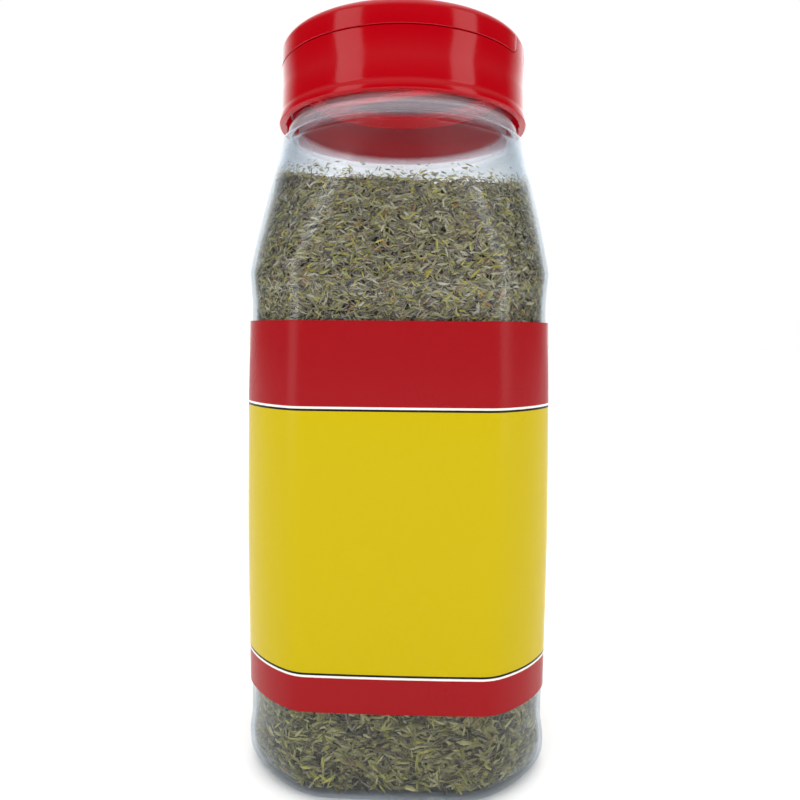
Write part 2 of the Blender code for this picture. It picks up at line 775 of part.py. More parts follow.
def make_flap(name, side, cap):
    """Half of the cap's top, hinged along the bridge. Side is -1 in front of the bridge, 1 behind it."""
    flap = lathe(name, lid_profile(PARTING + GAP, inner=True), "red cap plastic")
    combine(flap, [prism("bridge space", bridge_section(GAP), -0.05, 0.05, BRIDGE_TURN)], "DIFFERENCE")
    low, high = sorted((0.0, side * 0.05))
    keep = block("half", (-0.05, low, DECK_UNDER), (0.05, high, CAP_TOP + 0.01), BRIDGE_TURN)
    combine(flap, [keep], "INTERSECT")
    smooth(flap, 35)
    reach = Matrix.Rotation(BRIDGE_TURN, 3, "Z") @ Vector((0, side * (BRIDGE_HALF + GAP / 2), 0))
    place_origin(flap, (reach.x, reach.y, HINGE_HEIGHT))
    flap.parent = cap
    flap.matrix_parent_inverse = Matrix.Translation(-cap.location)
    return flap


def main():
    for old in list(bpy.data.objects):
        bpy.data.objects.remove(old)
    jar = make_jar()
    make_neck(jar)
    make_label(jar)
    make_thyme(jar)
    cap = make_cap()
    make_flap("flap_sift", -1, cap)
    make_flap("flap_pour", 1, cap)
    cap.parent = jar


if __name__ == "__main__":
    main()
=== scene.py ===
"""Looks for the jar of dried thyme: clear blown jar, loose leaves, printed wrap and red two-flap screw cap.
Run as a script. Metres, +Z up, front facing -Y, around the packed frame."""

import math
import random

import bpy
import numpy as np
from mathutils import Matrix, Vector


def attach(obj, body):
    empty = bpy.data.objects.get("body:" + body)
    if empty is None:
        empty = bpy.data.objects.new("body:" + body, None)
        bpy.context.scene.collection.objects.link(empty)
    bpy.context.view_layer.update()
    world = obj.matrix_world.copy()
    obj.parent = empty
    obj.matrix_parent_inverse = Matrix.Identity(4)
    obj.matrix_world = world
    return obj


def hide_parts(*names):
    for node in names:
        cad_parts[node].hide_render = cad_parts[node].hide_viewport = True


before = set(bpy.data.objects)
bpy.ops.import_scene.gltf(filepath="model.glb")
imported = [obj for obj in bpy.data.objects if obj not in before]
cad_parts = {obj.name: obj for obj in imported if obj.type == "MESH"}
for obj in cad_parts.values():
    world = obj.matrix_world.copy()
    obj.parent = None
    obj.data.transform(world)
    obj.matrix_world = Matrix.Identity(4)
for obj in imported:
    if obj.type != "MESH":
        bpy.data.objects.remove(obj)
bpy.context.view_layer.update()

bl_info = {
    "name": "Jar of dried thyme",
    "version": (1, 0, 0),
    "blender": (4, 5, 0),
    "location": "3D View > Sidebar > Thyme jar",
    "description": "Models a clear jar of dried thyme with its wrap, its leaves and its red flap cap",
    "category": "Add Mesh",
}

JAR_NODES = ("jar", "jar_neck")

# Height, half width and corner width of the jar's outside, up to the shoulder
WALL_STATIONS = (
    (0.0000, 0.0388, 0.0227),
    (0.0010, 0.0401, 0.0241),
    (0.0035, 0.04095, 0.0234),
    (0.0085, 0.04055, 0.0203),
    (0.0138, 0.0398, 0.0188),
    (0.0185, 0.03985, 0.0188),
    (0.0700, 0.04045, 0.0184),
    (0.0982, 0.04037, 0.0184),
    (0.1240, 0.04005, 0.0184),
    (0.1335, 0.04060, 0.0184),
)
CORNER_BEND, CORNER_TIGHTER, CORNER_FULL_AT = math.radians(30), 0.40, 0.020
WALL_CROWN = 0.0003
SHOULDER_FOOT, SHOULDER_RIM, RIM_RADIUS = 0.1335, 0.1720, 0.0368
NECK_ROOT, NECK_RADIUS, NECK_BORE, NECK_TOP = 0.1750, 0.0332, 0.0312, 0.1915
BEAD_RADIUS, BEAD_LOW, BEAD_HIGH = 0.0342, 0.1760, 0.1776
THREAD_FOOT, THREAD_PITCH, THREAD_TURNS = 0.1803, 0.0042, 1.25
PUSH_UP = ((0.0000, 0.0038), (0.0110, 0.0036), (0.0240, 0.0022), (0.0320, 0.0004), (0.0348, 0.0))

CAP_TOP, CAP_BOTTOM, PARTING = 0.2018, 0.1785, 0.1946
CAP_EDGE = 0.0026
CAP_STEP = 0.1865
CAP_BORE = 0.0348
DECK_TOP, DECK_UNDER, DECK_RIM = 0.1936, 0.1920, 0.0336
SEAL_OUTER, SEAL_INNER, SEAL_DEPTH = 0.0307, 0.0296, 0.0025
LID_WALL = 0.0013
BRIDGE_TURN = math.radians(-22)
BRIDGE_HALF, BRIDGE_FILLET, BRIDGE_WALL = 0.0041, 0.0022, 0.0014
SHAKER_RADIUS, SHAKER_SPACING = 0.0018, 0.0085
SHAKER_ROWS = ((0.0115, 3), (0.0185, 4), (0.0255, 3))
POUR_NEAR, POUR_FAR = 0.0075, 0.0275

# Shape of the heap's top: its slopes along X and Y, its mound and its saddle
FILL_TILT, FILL_LEAN, FILL_MOUND, FILL_SADDLE = -0.046, 0.02, 0.0012, 0.0027

# Where the hazy white ring at the neck's root fades in and out, and how strong it is: partly the thick
# plastic's haze, partly painted light for the brightness the thick neck refracts
HAZE_AND_PAINTED_LIGHT_LOW, HAZE_AND_PAINTED_LIGHT_HIGH, HAZE_AND_PAINTED_LIGHT_STRENGTH = (0.1722, 0.1748), (0.1798, 0.1782), 0.28


def linear(red, green, blue):
    """A colour given in the 0 to 255 values of a screen, as the shader wants it."""
    shares = [value / 255 for value in (red, green, blue)]
    return tuple(s / 12.92 if s <= 0.04045 else ((s + 0.055) / 1.055) ** 2.4 for s in shares) + (1.0,)


class JarSizes(bpy.types.PropertyGroup):
    """Sizes of the blown jar."""

    wall: bpy.props.FloatProperty(
        name="Wall", description="Thickness of the plastic", default=0.0010, unit="LENGTH")
    columns: bpy.props.IntProperty(
        name="Columns", description="Faces round the jar", default=176, min=24)
    plastic: bpy.props.FloatVectorProperty(
        name="Plastic", description="Tint of the clear plastic", subtype="COLOR", size=4,
        default=(0.94, 0.952, 0.962, 1.0))
    edge: bpy.props.FloatVectorProperty(
        name="Edge", description="Tint where the plastic is seen edge on", subtype="COLOR", size=4,
        default=(0.62, 0.68, 0.73, 1.0))


class WrapSizes(bpy.types.PropertyGroup):
    """Sizes and colours of the printed wrap."""

    bottom: bpy.props.FloatProperty(
        name="Bottom", description="Height of the lower edge", default=0.0227, unit="LENGTH")
    top: bpy.props.FloatProperty(
        name="Top", description="Height of the upper edge", default=0.1206, unit="LENGTH")
    lower_line: bpy.props.FloatProperty(
        name="Lower line", description="Where the yellow panel ends below", default=0.0327, unit="LENGTH")
    upper_line: bpy.props.FloatProperty(
        name="Upper line", description="Where the yellow panel ends above", default=0.0982, unit="LENGTH")
    pinstripe: bpy.props.FloatProperty(
        name="Pinstripe", description="Width of each thin line", default=0.00056, unit="LENGTH")
    clearance: bpy.props.FloatProperty(
        name="Clearance", description="Gap to the wall", default=0.00015, unit="LENGTH")
    film: bpy.props.FloatProperty(
        name="Film", description="Thickness of the wrap", default=0.0003, unit="LENGTH")
    overlap: bpy.props.FloatProperty(
        name="Overlap", description="How far one end laps the other", default=0.006, unit="LENGTH")
    panel: bpy.props.FloatVectorProperty(
        name="Panel", description="Colour of the wide panel", subtype="COLOR", size=4,
        default=linear(194, 172, 0))
    band: bpy.props.FloatVectorProperty(
        name="Band", description="Colour of the two bands", subtype="COLOR", size=4,
        default=linear(152, 18, 24))


class ThymeSizes(bpy.types.PropertyGroup):
    """How the dried leaves lie."""

    level: bpy.props.FloatProperty(
        name="Level", description="Height of the heap's top at the middle", default=0.1588, unit="LENGTH")
    shortest: bpy.props.FloatProperty(
        name="Shortest", description="Length of the shortest leaf", default=0.0015, unit="LENGTH")
    longest: bpy.props.FloatProperty(
        name="Longest", description="Length of the longest leaf", default=0.0043, unit="LENGTH")
    seed: bpy.props.IntProperty(name="Seed", description="Start of the random draws", default=7)


class CapSizes(bpy.types.PropertyGroup):
    """Sizes and colour of the screw cap."""

    radius: bpy.props.FloatProperty(
        name="Radius", description="Outer radius of the cap", default=0.0363, unit="LENGTH")
    gap: bpy.props.FloatProperty(
        name="Gap", description="Gap round each flap", default=0.00014, unit="LENGTH")
    steps: bpy.props.IntProperty(name="Steps", description="Faces round the cap", default=144, min=24)
    colour: bpy.props.FloatVectorProperty(
        name="Colour", description="Colour of the cap's plastic", subtype="COLOR", size=4,
        default=linear(168, 0, 14))


class StudioSizes(bpy.types.PropertyGroup):
    """The camera's place, aim and lens."""

    distance: bpy.props.FloatProperty(
        name="Distance", description="Camera to the jar's axis", default=0.19995, unit="LENGTH")
    height: bpy.props.FloatProperty(
        name="Height", description="Height of the camera", default=0.1172, unit="LENGTH")
    azimuth: bpy.props.FloatProperty(
        name="Azimuth", description="Camera's way round the jar", default=math.radians(2.0), subtype="ANGLE")
    pitch: bpy.props.FloatProperty(
        name="Pitch", description="How far it looks down", default=math.radians(1.4), subtype="ANGLE")
    roll: bpy.props.FloatProperty(
        name="Roll", description="Turn about its own view", default=math.radians(0.43), subtype="ANGLE")
    lens: bpy.props.FloatProperty(name="Lens", description="Focal length in millimetres", default=29.28)
    shift_x: bpy.props.FloatProperty(name="Shift X", description="Sideways lens shift", default=-0.0013)
    shift_y: bpy.props.FloatProperty(name="Shift Y", description="Upward lens shift", default=-0.0619)


class Wire:
    """An output of a material's nodes. Sums on it add Math nodes."""

    def __init__(self, finish, socket):
        self.finish = finish
        self.socket = socket

    def __add__(self, other):
        return self.finish.maths("ADD", self, other)

    def __sub__(self, other):
        return self.finish.maths("SUBTRACT", self, other)

    def __rsub__(self, other):
        return self.finish.maths("SUBTRACT", other, self)

    def __mul__(self, other):
        return self.finish.maths("MULTIPLY", self, other)

    def __gt__(self, other):
        return self.finish.maths("GREATER_THAN", self, other)

    __radd__ = __add__
    __rmul__ = __mul__


class Finish:
    """A material being wired, one Principled shader with plain values and a few patterns."""

    def __init__(self, name, **plain):
        self.material = bpy.data.materials.new(name)
        self.material.use_nodes = True
        self.tree = self.material.node_tree
        self.shader = self.tree.nodes["Principled BSDF"]
        for socket, value in plain.items():
            self.shader.inputs[socket.replace("_", " ")].default_value = value

    def node(self, kind, settings=None, inputs=None, output=0):
        """Adds a node: its settings first, then the values or links of its sockets."""
        made = self.tree.nodes.new("ShaderNode" + kind)
        for key, value in (settings or {}).items():
            if key == "stops":
                ramp = made.color_ramp
                while len(ramp.elements) < len(value):
                    ramp.elements.new(0.5)
                for element, (place, colour) in zip(ramp.elements, value):
                    element.position = place
                    element.color = colour
            elif key == "interpolation" and kind == "ValToRGB":
                made.color_ramp.interpolation = value
            else:
                setattr(made, key, value)
        for key, value in (inputs or {}).items():
            self.join(value, made.inputs[key])
        return Wire(self, made.outputs[output])

    def join(self, value, socket):
        """Links a wire to a socket, or sets the socket's value."""
        if isinstance(value, Wire):
            self.tree.links.new(value.socket, socket)
        else:
            socket.default_value = value

    def maths(self, operation, first, second):
        return self.node("Math", {"operation": operation}, {0: first, 1: second})

    def blend(self, factor, first, second):
        """Mixes two colours."""
        return self.node("Mix", {"data_type": "RGBA"}, {0: factor, 6: first, 7: second}, output=2)

    def place(self):
        return self.node("TexCoord", output="Object")

    def noise(self, scale, detail=2.0, stretch=None, place=None):
        """Noise on the piece's own coordinates, in features per metre, drawn out by stretch."""
        where = place or self.place()
        if stretch:
            where = self.node("Mapping", {"vector_type": "POINT"}, {"Vector": where, "Scale": stretch})
        return self.node("TexNoise", None, {"Vector": where, "Scale": scale, "Detail": detail})

    def bump(self, height, strength, distance):
        wire = self.node("Bump", None, {"Height": height, "Strength": strength, "Distance": distance})
        self.join(wire, self.shader.inputs["Normal"])

    def use(self, socket, wire):
        self.join(wire, self.shader.inputs[socket])
        return self


def clear_plastic(sizes):
    """Blown PET, thin enough to be seen straight through: a tint and a gloss that grow with the angle, on a
    surface that is a little wavy, and a hazy white ring at the neck's root, partly the haze of the thick
    plastic and partly painted light for the brightness the thick neck refracts."""
    finish = Finish("clear PET", Roughness=0.10, Metallic=1.0)
    finish.shader.inputs["Base Color"].default_value = (0.96, 0.98, 1.0, 1.0)
    finish.bump(finish.noise(55.0, 2.0, (1.0, 1.0, 0.35)), 0.25, 0.0006)
    facing = finish.node("LayerWeight", None, {"Blend": 0.5}, output="Facing")
    thin = finish.node("BsdfTransparent", None, {"Color": sizes.plastic})
    thick = finish.node("BsdfTransparent", None, {"Color": sizes.edge})
    clear = finish.node("MixShader", None, {0: facing * facing, 1: thin, 2: thick})
    gloss = facing * facing * facing * facing * 0.6 + 0.014
    surface = finish.node("MixShader", None, {0: gloss, 1: clear, 2: Wire(finish, finish.shader.outputs[0])})
    # Painted light: a lit white haze at the neck's root, which stands in partly for the light that the thick
    # neck refracts
    haze_and_painted_light = finish.node("BsdfPrincipled", None, {"Base Color": linear(214, 220, 226), "Roughness": 0.3})
    height = finish.node("SeparateXYZ", None, {"Vector": finish.place()}, output="Z")
    rising, falling = (
        finish.node("MapRange", None, {"Value": height, "From Min": off, "From Max": full})
        for off, full in (HAZE_AND_PAINTED_LIGHT_LOW, HAZE_AND_PAINTED_LIGHT_HIGH)
    )
    haze_and_painted_light_share = rising * falling * HAZE_AND_PAINTED_LIGHT_STRENGTH + 0.006
    surface = finish.node("MixShader", None, {0: haze_and_painted_light_share, 1: surface, 2: haze_and_painted_light})
    finish.join(surface, finish.tree.nodes["Material Output"].inputs["Surface"])
    return finish.material


def wrap_film(sizes):
    """Printed film: bands and pinstripes by height, satin varnish, faint cockling where it is stuck down."""
    finish = Finish("printed wrap", IOR=1.5, Specular_IOR_Level=0.11)
    height = finish.node("SeparateXYZ", None, {"Vector": finish.place()}, output="Z")
    grain = finish.noise(2600.0, 2.0)
    band = finish.blend(grain * 0.25, sizes.band, linear(140, 18, 26))
    panel = finish.blend(grain * 0.22, sizes.panel, linear(182, 160, 2))
    colour = finish.blend((height > sizes.lower_line) * (1 - (height > sizes.upper_line)), band, panel)
    white, black = linear(236, 232, 226), linear(26, 22, 20)
    for line, side in ((sizes.upper_line, 1), (sizes.lower_line, -1)):
        for step, ink in ((0, black), (1, white)):
            edges = sorted((line + side * step * sizes.pinstripe, line + side * (step + 1) * sizes.pinstripe))
            inside = (height > edges[0]) * (1 - (height > edges[1]))
            colour = finish.blend(inside, colour, ink)
    finish.use("Base Color", colour)
    smudge = finish.noise(34.0, 3.0)
    finish.use("Roughness", 0.20 + smudge * 0.12)
    cockle = finish.noise(70.0, 2.0, (1.0, 1.0, 0.4)) + grain * 0.02
    finish.bump(cockle, 0.35, 0.0005)
    return finish.material


def cap_plastic(sizes):
    """Moulded red plastic, glossy with a fine skin."""
    finish = Finish("red cap plastic", IOR=1.5, Specular_IOR_Level=0.19)
    flow = finish.noise(60.0, 3.0)
    deep = linear(152, 0, 11)
    finish.use("Base Color", finish.blend(flow * 0.35, sizes.colour, deep))
    finish.use("Roughness", 0.10 + finish.noise(140.0, 3.0) * 0.06)
    finish.bump(flow, 0.05, 0.0004)
    return finish.material


UPPER_TONES = (
    (0.00, linear(168, 160, 124)),
    (0.17, linear(192, 184, 146)),
    (0.32, linear(116, 104, 108)),
    (0.47, linear(214, 208, 186)),
    (0.59, linear(150, 146, 84)),
    (0.73, linear(186, 180, 92)),
    (0.85, linear(136, 124, 98)),
    (0.94, linear(220, 202, 78)),
    (0.98, linear(190, 124, 58)),
)
LOWER_TONES = (
    (0.00, linear(138, 136, 78)),
    (0.20, linear(168, 164, 82)),
    (0.38, linear(98, 96, 78)),
    (0.54, linear(190, 186, 126)),
    (0.70, linear(124, 126, 56)),
    (0.84, linear(186, 182, 66)),
    (0.94, linear(150, 108, 62)),
    (0.97, linear(222, 208, 140)),
)


def leaf_skin(name, tones):
    """Dried leaf: its own tone from the leaf_tone attribute, mottled, with pale rolled edges, and darkened
    towards near black by a painted shade kept on each leaf.
    """
    finish = Finish(name, IOR=1.4, Specular_IOR_Level=0.2, Sheen_Weight=0.1, Sheen_Roughness=0.5)
    tone = finish.node("Attribute", {"attribute_name": "leaf_tone"}, output="Fac")
    shade = finish.node("Attribute", {"attribute_name": "leaf_shade"}, output="Fac")
    rim = finish.node("Attribute", {"attribute_name": "leaf_rim"}, output="Fac")
    body = finish.node("ValToRGB", {"interpolation": "CONSTANT", "stops": tones}, {"Fac": tone})
    mottle = finish.noise(1500.0, 3.0)
    body = finish.blend(mottle * 0.45, body, linear(84, 74, 54))
    body = finish.blend(rim * rim * 0.5, body, linear(208, 196, 162))
    # Painted shade: each leaf is darkened towards near black by its own amount, for the shadow it lies in
    # among the others
    finish.use("Base Color", finish.blend(1.0 - shade, body, linear(34, 27, 28)))
    finish.use("Roughness", 0.66 + mottle * 0.25)
    finish.bump(finish.noise(2600.0, 2.0), 0.5, 0.0002)
    return finish.material


def heap_core():
    """The crumb between the leaves, broken up, and dark as painted shade for the deep gaps between the
    leaves.
    """
    finish = Finish("thyme crumb with painted shade", IOR=1.4, Specular_IOR_Level=0.2)
    crumb = finish.noise(1100.0, 4.0)
    # The darkest tones are painted shade for the gaps between the leaves, and the lighter ones are the
    # crumb's own colour
    tones = ((0.30, linear(44, 36, 34)), (0.55, linear(92, 82, 68)), (0.75, linear(136, 126, 100)))
    finish.use("Base Color", finish.node("ValToRGB", {"stops": tones}, {"Fac": crumb}))
    finish.use("Roughness", 0.80 + crumb * 0.15)
    finish.bump(crumb, 0.9, 0.0008)
    return finish.material


def floor_paper():
    """Seamless pale paper."""
    finish = Finish("pale floor", IOR=1.45, Specular_IOR_Level=0.1)
    fibres = finish.noise(90.0, 4.0)
    finish.use("Base Color", finish.blend(fibres * 0.10, linear(254, 254, 254), linear(250, 250, 251)))
    finish.use("Roughness", 0.80 + fibres * 0.15)
    return finish.material


def smooth_run(places, xs, ys):
    """Values of a smooth curve through points, which never overshoots them."""
    xs, ys = np.asarray(xs, float), np.asarray(ys, float)
    gaps, rises = np.diff(xs), np.diff(ys) / np.diff(xs)
    slopes = np.zeros_like(ys)
    slopes[0], slopes[-1] = rises[0], rises[-1]
    same = rises[:-1] * rises[1:] > 0
    slopes[1:-1][same] = 2 * rises[:-1][same] * rises[1:][same] / (rises[:-1][same] + rises[1:][same])
    index = np.clip(np.searchsorted(xs, places) - 1, 0, len(gaps) - 1)
    t = (np.asarray(places) - xs[index]) / gaps[index]
    start, end = ys[index], ys[index + 1]
    lift = gaps[index] * slopes[index], gaps[index] * slopes[index + 1]
    return (
        start * (2 * t**3 - 3 * t**2 + 1) + lift[0] * (t**3 - 2 * t**2 + t)
        + end * (3 * t**2 - 2 * t**3) + lift[1] * (t**3 - t**2)
    )


def corner_curve(corner, square):
    """A quarter turn from (0, 0) to (corner, corner): a round arc where square is 0, and one with a flatter
    middle where it is 1."""
    ends_share = math.sin(CORNER_BEND) + 1 - math.cos(CORNER_BEND)
    tight = corner * (1 - CORNER_TIGHTER * square)
    broad = (corner - tight * ends_share) / (1 - ends_share)
    angles = np.radians(np.linspace(0, 90, 61))
    middles = (angles[:-1] + angles[1:]) / 2
    radii = np.where(np.abs(middles - math.pi / 4) < math.pi / 4 - CORNER_BEND, broad, tight)
    across = np.concatenate([[0], np.cumsum(radii * np.diff(np.sin(angles)))])
    back = np.concatenate([[0], np.cumsum(-radii * np.diff(np.cos(angles)))])
    return across, back


def rounded_square(half, corner, crown, count):
    """Evenly spaced points (x, y) of a square with round corners and crowned sides, anticlockwise from the
    middle of its front. With the corner as wide as half the square it is a circle."""
    flat = half - corner
    across, back = corner_curve(corner, min(flat / CORNER_FULL_AT, 1.0))
    share = np.linspace(-1, 1, 33)
    side = np.column_stack([share * flat, -(half + crown * (1 - share * share))])
    quarter = np.vstack([side, np.column_stack([flat + across, -half + back])[1:-1]])
    outline = []
    for turn in np.arange(4) * math.pi / 2:
        cos, sin = math.cos(turn), math.sin(turn)
        outline.append(quarter @ np.array([[cos, sin], [-sin, cos]]))
    outline = np.roll(np.vstack(outline), -16, axis=0)
    outline = np.vstack([outline, outline[:1]])
    along = np.concatenate([[0], np.cumsum(np.hypot(*np.diff(outline, axis=0).T))])
    stops = np.arange(count) * along[-1] / count
    return np.column_stack([np.interp(stops, along, outline[:, axis]) for axis in (0, 1)])


def jar_section(height):
    """Half width, corner radius and crown of the jar's outside at a height up to the shoulder's rim."""
    heights, halves, corners = zip(*WALL_STATIONS)
    if height <= SHOULDER_FOOT:
        half, corner = (float(smooth_run(height, heights, sizes)) for sizes in (halves, corners))
        return half, corner, WALL_CROWN
    rise = min((height - SHOULDER_FOOT) / (SHOULDER_RIM - SHOULDER_FOOT), 1.0)
    half = halves[-1] + (RIM_RADIUS - halves[-1]) * rise**1.35
    corner = corners[-1] + (half - corners[-1]) * rise**1.1
    return half, corner, WALL_CROWN * (1 - rise)


def start_piece(name):
    """Takes the object that an operator has just added, and gives it the piece's name."""
    piece = bpy.context.object
    piece.name = name
    piece.data.name = name
    return piece


def deselect_all():
    """Leaves object mode clean, since the frame's nodes and each new primitive come selected."""
    if bpy.context.object and bpy.context.object.mode != "OBJECT":
        bpy.ops.object.mode_set(mode="OBJECT")
    bpy.ops.object.select_all(action="DESELECT")


def set_points(piece, points):
    piece.data.vertices.foreach_set("co", np.ascontiguousarray(points, np.float32).ravel())
    piece.data.update()


def close_up(piece, smooth_angle=38.0):
    """Merges seams and poles, turns the faces out, and shades the piece smooth up to the angle."""
    bpy.context.view_layer.objects.active = piece
    piece.select_set(True)
    bpy.ops.object.mode_set(mode="EDIT")
    bpy.ops.mesh.select_all(action="SELECT")
    bpy.ops.mesh.remove_doubles(threshold=1e-6)
    bpy.ops.mesh.dissolve_degenerate(threshold=1e-7)
    bpy.ops.mesh.normals_make_consistent(inside=False)
    bpy.ops.object.mode_set(mode="OBJECT")
    bpy.ops.object.shade_smooth_by_angle(angle=math.radians(smooth_angle))
    piece.select_set(False)


def bent_grid(name, rows, wrap=True):
    """A grid bent onto rows of points, one row after another. A wrapped one closes round on itself."""
    rows = np.asarray(rows, float)
    if wrap:
        rows = np.concatenate([rows, rows[:, :1]], axis=1)
    deselect_all()
    bpy.ops.mesh.primitive_grid_add(
        x_subdivisions=rows.shape[1] - 1, y_subdivisions=rows.shape[0] - 1, size=1.0)
    piece = start_piece(name)
    flat = np.empty(len(piece.data.vertices) * 3, np.float32)
    piece.data.vertices.foreach_get("co", flat)
    flat = flat.reshape(-1, 3)
    order = np.lexsort((np.round(flat[:, 0], 4), np.round(flat[:, 1], 4)))
    points = np.empty_like(flat)
    points[order] = rows.reshape(-1, 3)
    set_points(piece, points)
    return piece


def turned(name, profile, steps):
    """A closed profile of (radius, height) points, spun about the jar's axis."""
    deselect_all()
    bpy.ops.mesh.primitive_circle_add(vertices=len(profile), radius=0.01, fill_type="NOTHING")
    piece = start_piece(name)
    set_points(piece, [(radius, 0.0, height) for radius, height in profile])
    bpy.ops.object.mode_set(mode="EDIT")
    bpy.ops.mesh.select_all(action="SELECT")
    bpy.ops.mesh.spin(steps=steps, angle=2 * math.pi, center=(0, 0, 0), axis=(0, 0, 1))
    bpy.ops.object.mode_set(mode="OBJECT")
    close_up(piece)
    return piece


def prism(name, outline, start, end, turn):
    """An outline of (y, z) points pulled along X from start to end, then turned about the jar's axis."""
    deselect_all()
    bpy.ops.mesh.primitive_circle_add(vertices=len(outline), radius=0.01, fill_type="NGON")
    piece = start_piece(name)
    set_points(piece, [(start, y, z) for y, z in outline])
    bpy.ops.object.mode_set(mode="EDIT")
    bpy.ops.mesh.select_all(action="SELECT")
    bpy.ops.mesh.extrude_region_move(TRANSFORM_OT_translate={"value": (end - start, 0, 0)})
    bpy.ops.object.mode_set(mode="OBJECT")
    piece.data.transform(Matrix.Rotation(turn, 4, "Z"))
    close_up(piece)
    return piece


def drum(name, radius, low, high, centre, sides=28):
    """A straight round cutter."""
    deselect_all()
    bpy.ops.mesh.primitive_cylinder_add(
        vertices=sides, radius=radius, depth=high - low, location=(*centre, (low + high) / 2))
    piece = start_piece(name)
    bpy.ops.object.transform_apply(location=True, rotation=True, scale=True)
    return piece


def block(name, low, high, turn):
    """A box cutter between two corners, turned about the jar's axis."""
    outline = [(low[1], low[2]), (high[1], low[2]), (high[1], high[2]), (low[1], high[2])]
    return prism(name, outline, low[0], high[0], turn)


def join_up(target, tools, operation):
    """Applies a Boolean of the target with each tool, and removes the tools."""
    for tool in tools:
        modifier = target.modifiers.new(operation.title(), "BOOLEAN")
        modifier.operation = operation
        modifier.solver = "EXACT"
        modifier.object = tool
        bpy.context.view_layer.objects.active = target
        bpy.ops.object.modifier_apply(modifier=modifier.name)
        bpy.data.objects.remove(tool)


def soften(piece, width, angle=35.0, segments=2):
    """Rounds the piece's edges, applies that, and shades it smooth."""
    bevel = piece.modifiers.new("Soft edges", "BEVEL")
    bevel.width = width
    bevel.segments = segments
    bevel.limit_method = "ANGLE"
    bevel.angle_limit = math.radians(angle)
    bevel.harden_normals = False
    bevel.use_clamp_overlap = True
    bpy.context.view_layer.objects.active = piece
    bpy.ops.object.modifier_apply(modifier=bevel.name)
    deselect_all()
    piece.select_set(True)
    bpy.ops.object.shade_smooth_by_angle(angle=math.radians(angle))
    piece.select_set(False)


def finish_piece(piece, material, body, slot, *nodes):
    """Gives the piece its material and its place in the frame."""
    piece.data.materials.clear()
    piece.data.materials.append(material)
    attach(piece, body)
    if nodes:
        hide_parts(*nodes)


def jar_rows(sizes):
    """Rows of points over the whole jar, from under its middle, up outside, over the lip and down inside."""
    wall, count = sizes.wall, sizes.columns

    def ring(half, corner, crown, height):
        plan = rounded_square(max(half, 1e-9), max(corner, 1e-9), crown, count)
        return np.column_stack([plan, np.full(count, height)])

    foot_half, foot_corner = WALL_STATIONS[0][1:]

    def foot(half, height):
        share = half / foot_half
        return ring(half, foot_corner * share, WALL_CROWN * share, height)

    halves, heights = zip(*PUSH_UP)
    reach = np.array([0.0, 0.004, 0.008, 0.012, 0.016, 0.020, 0.024, 0.027, 0.030, 0.032, 0.0338, 0.0348])
    rows = [foot(half, z) for half, z in zip(reach, smooth_run(reach, halves, heights))]
    wall_heights = np.concatenate([
        [0.0, 0.0002, 0.0005, 0.0010, 0.0016, 0.0024, 0.0035, 0.0050, 0.0068, 0.0085, 0.0100, 0.0112, 0.0122],
        [0.0130, 0.0138, 0.0146, 0.0154, 0.0162, 0.0172, 0.0185, 0.0215],
        np.linspace(0.026, 0.130, 22), [0.1335],
        np.linspace(SHOULDER_FOOT + 0.0018, SHOULDER_RIM, 21),
    ])
    rows += [ring(*jar_section(z), z) for z in wall_heights]
    turn_in = np.radians(np.linspace(12, 90, 7))
    drop = RIM_RADIUS - NECK_RADIUS - 0.0010
    rise = NECK_ROOT - SHOULDER_RIM - 0.0008
    for angle in turn_in:
        radius = RIM_RADIUS - drop * (1 - math.cos(angle))
        rows.append(ring(radius, radius, 0, SHOULDER_RIM + rise * math.sin(angle)))
    neck = [
        (NECK_RADIUS + 0.0005, NECK_ROOT - 0.0005), (NECK_RADIUS + 0.0001, NECK_ROOT - 0.0001),
        (NECK_RADIUS, NECK_ROOT + 0.0004), (NECK_RADIUS, BEAD_LOW - 0.0001),
        (NECK_RADIUS + 0.0003, BEAD_LOW), (BEAD_RADIUS - 0.0002, BEAD_LOW + 0.0001),
        (BEAD_RADIUS, BEAD_LOW + 0.0003), (BEAD_RADIUS, BEAD_HIGH - 0.0003),
        (BEAD_RADIUS - 0.0002, BEAD_HIGH - 0.0001), (NECK_RADIUS + 0.0003, BEAD_HIGH),
        (NECK_RADIUS, BEAD_HIGH + 0.0003), (NECK_RADIUS, NECK_TOP - 0.0004),
        (NECK_RADIUS - 0.0002, NECK_TOP - 0.0001), (NECK_RADIUS - 0.0005, NECK_TOP),
        (NECK_BORE + 0.0005, NECK_TOP), (NECK_BORE + 0.0002, NECK_TOP - 0.0001),
        (NECK_BORE, NECK_TOP - 0.0004), (NECK_BORE, NECK_ROOT),
        (NECK_BORE + 0.0003, NECK_ROOT - 0.0010), (NECK_BORE + 0.0012, NECK_ROOT - 0.0017),
    ]
    rows += [ring(radius, radius, 0, z) for radius, z in neck]
    inner = [z for z in wall_heights if z >= 0.0035]
    for z in reversed(inner):
        half, corner, crown = jar_section(z)
        drop = 0.0004 if z > SHOULDER_FOOT else 0.0
        rows.append(ring(half - wall, corner - wall, crown, z - drop))
    rows.append(foot(foot_half - 0.0006, 0.0021))
    rows.append(foot(foot_half - 0.0014, 0.0014))
    rows.append(foot(foot_half - 0.0030, 0.0010))
    rows += [foot(half, z + wall) for half, z in zip(reach[::-1], smooth_run(reach[::-1], halves, heights))]
    return rows


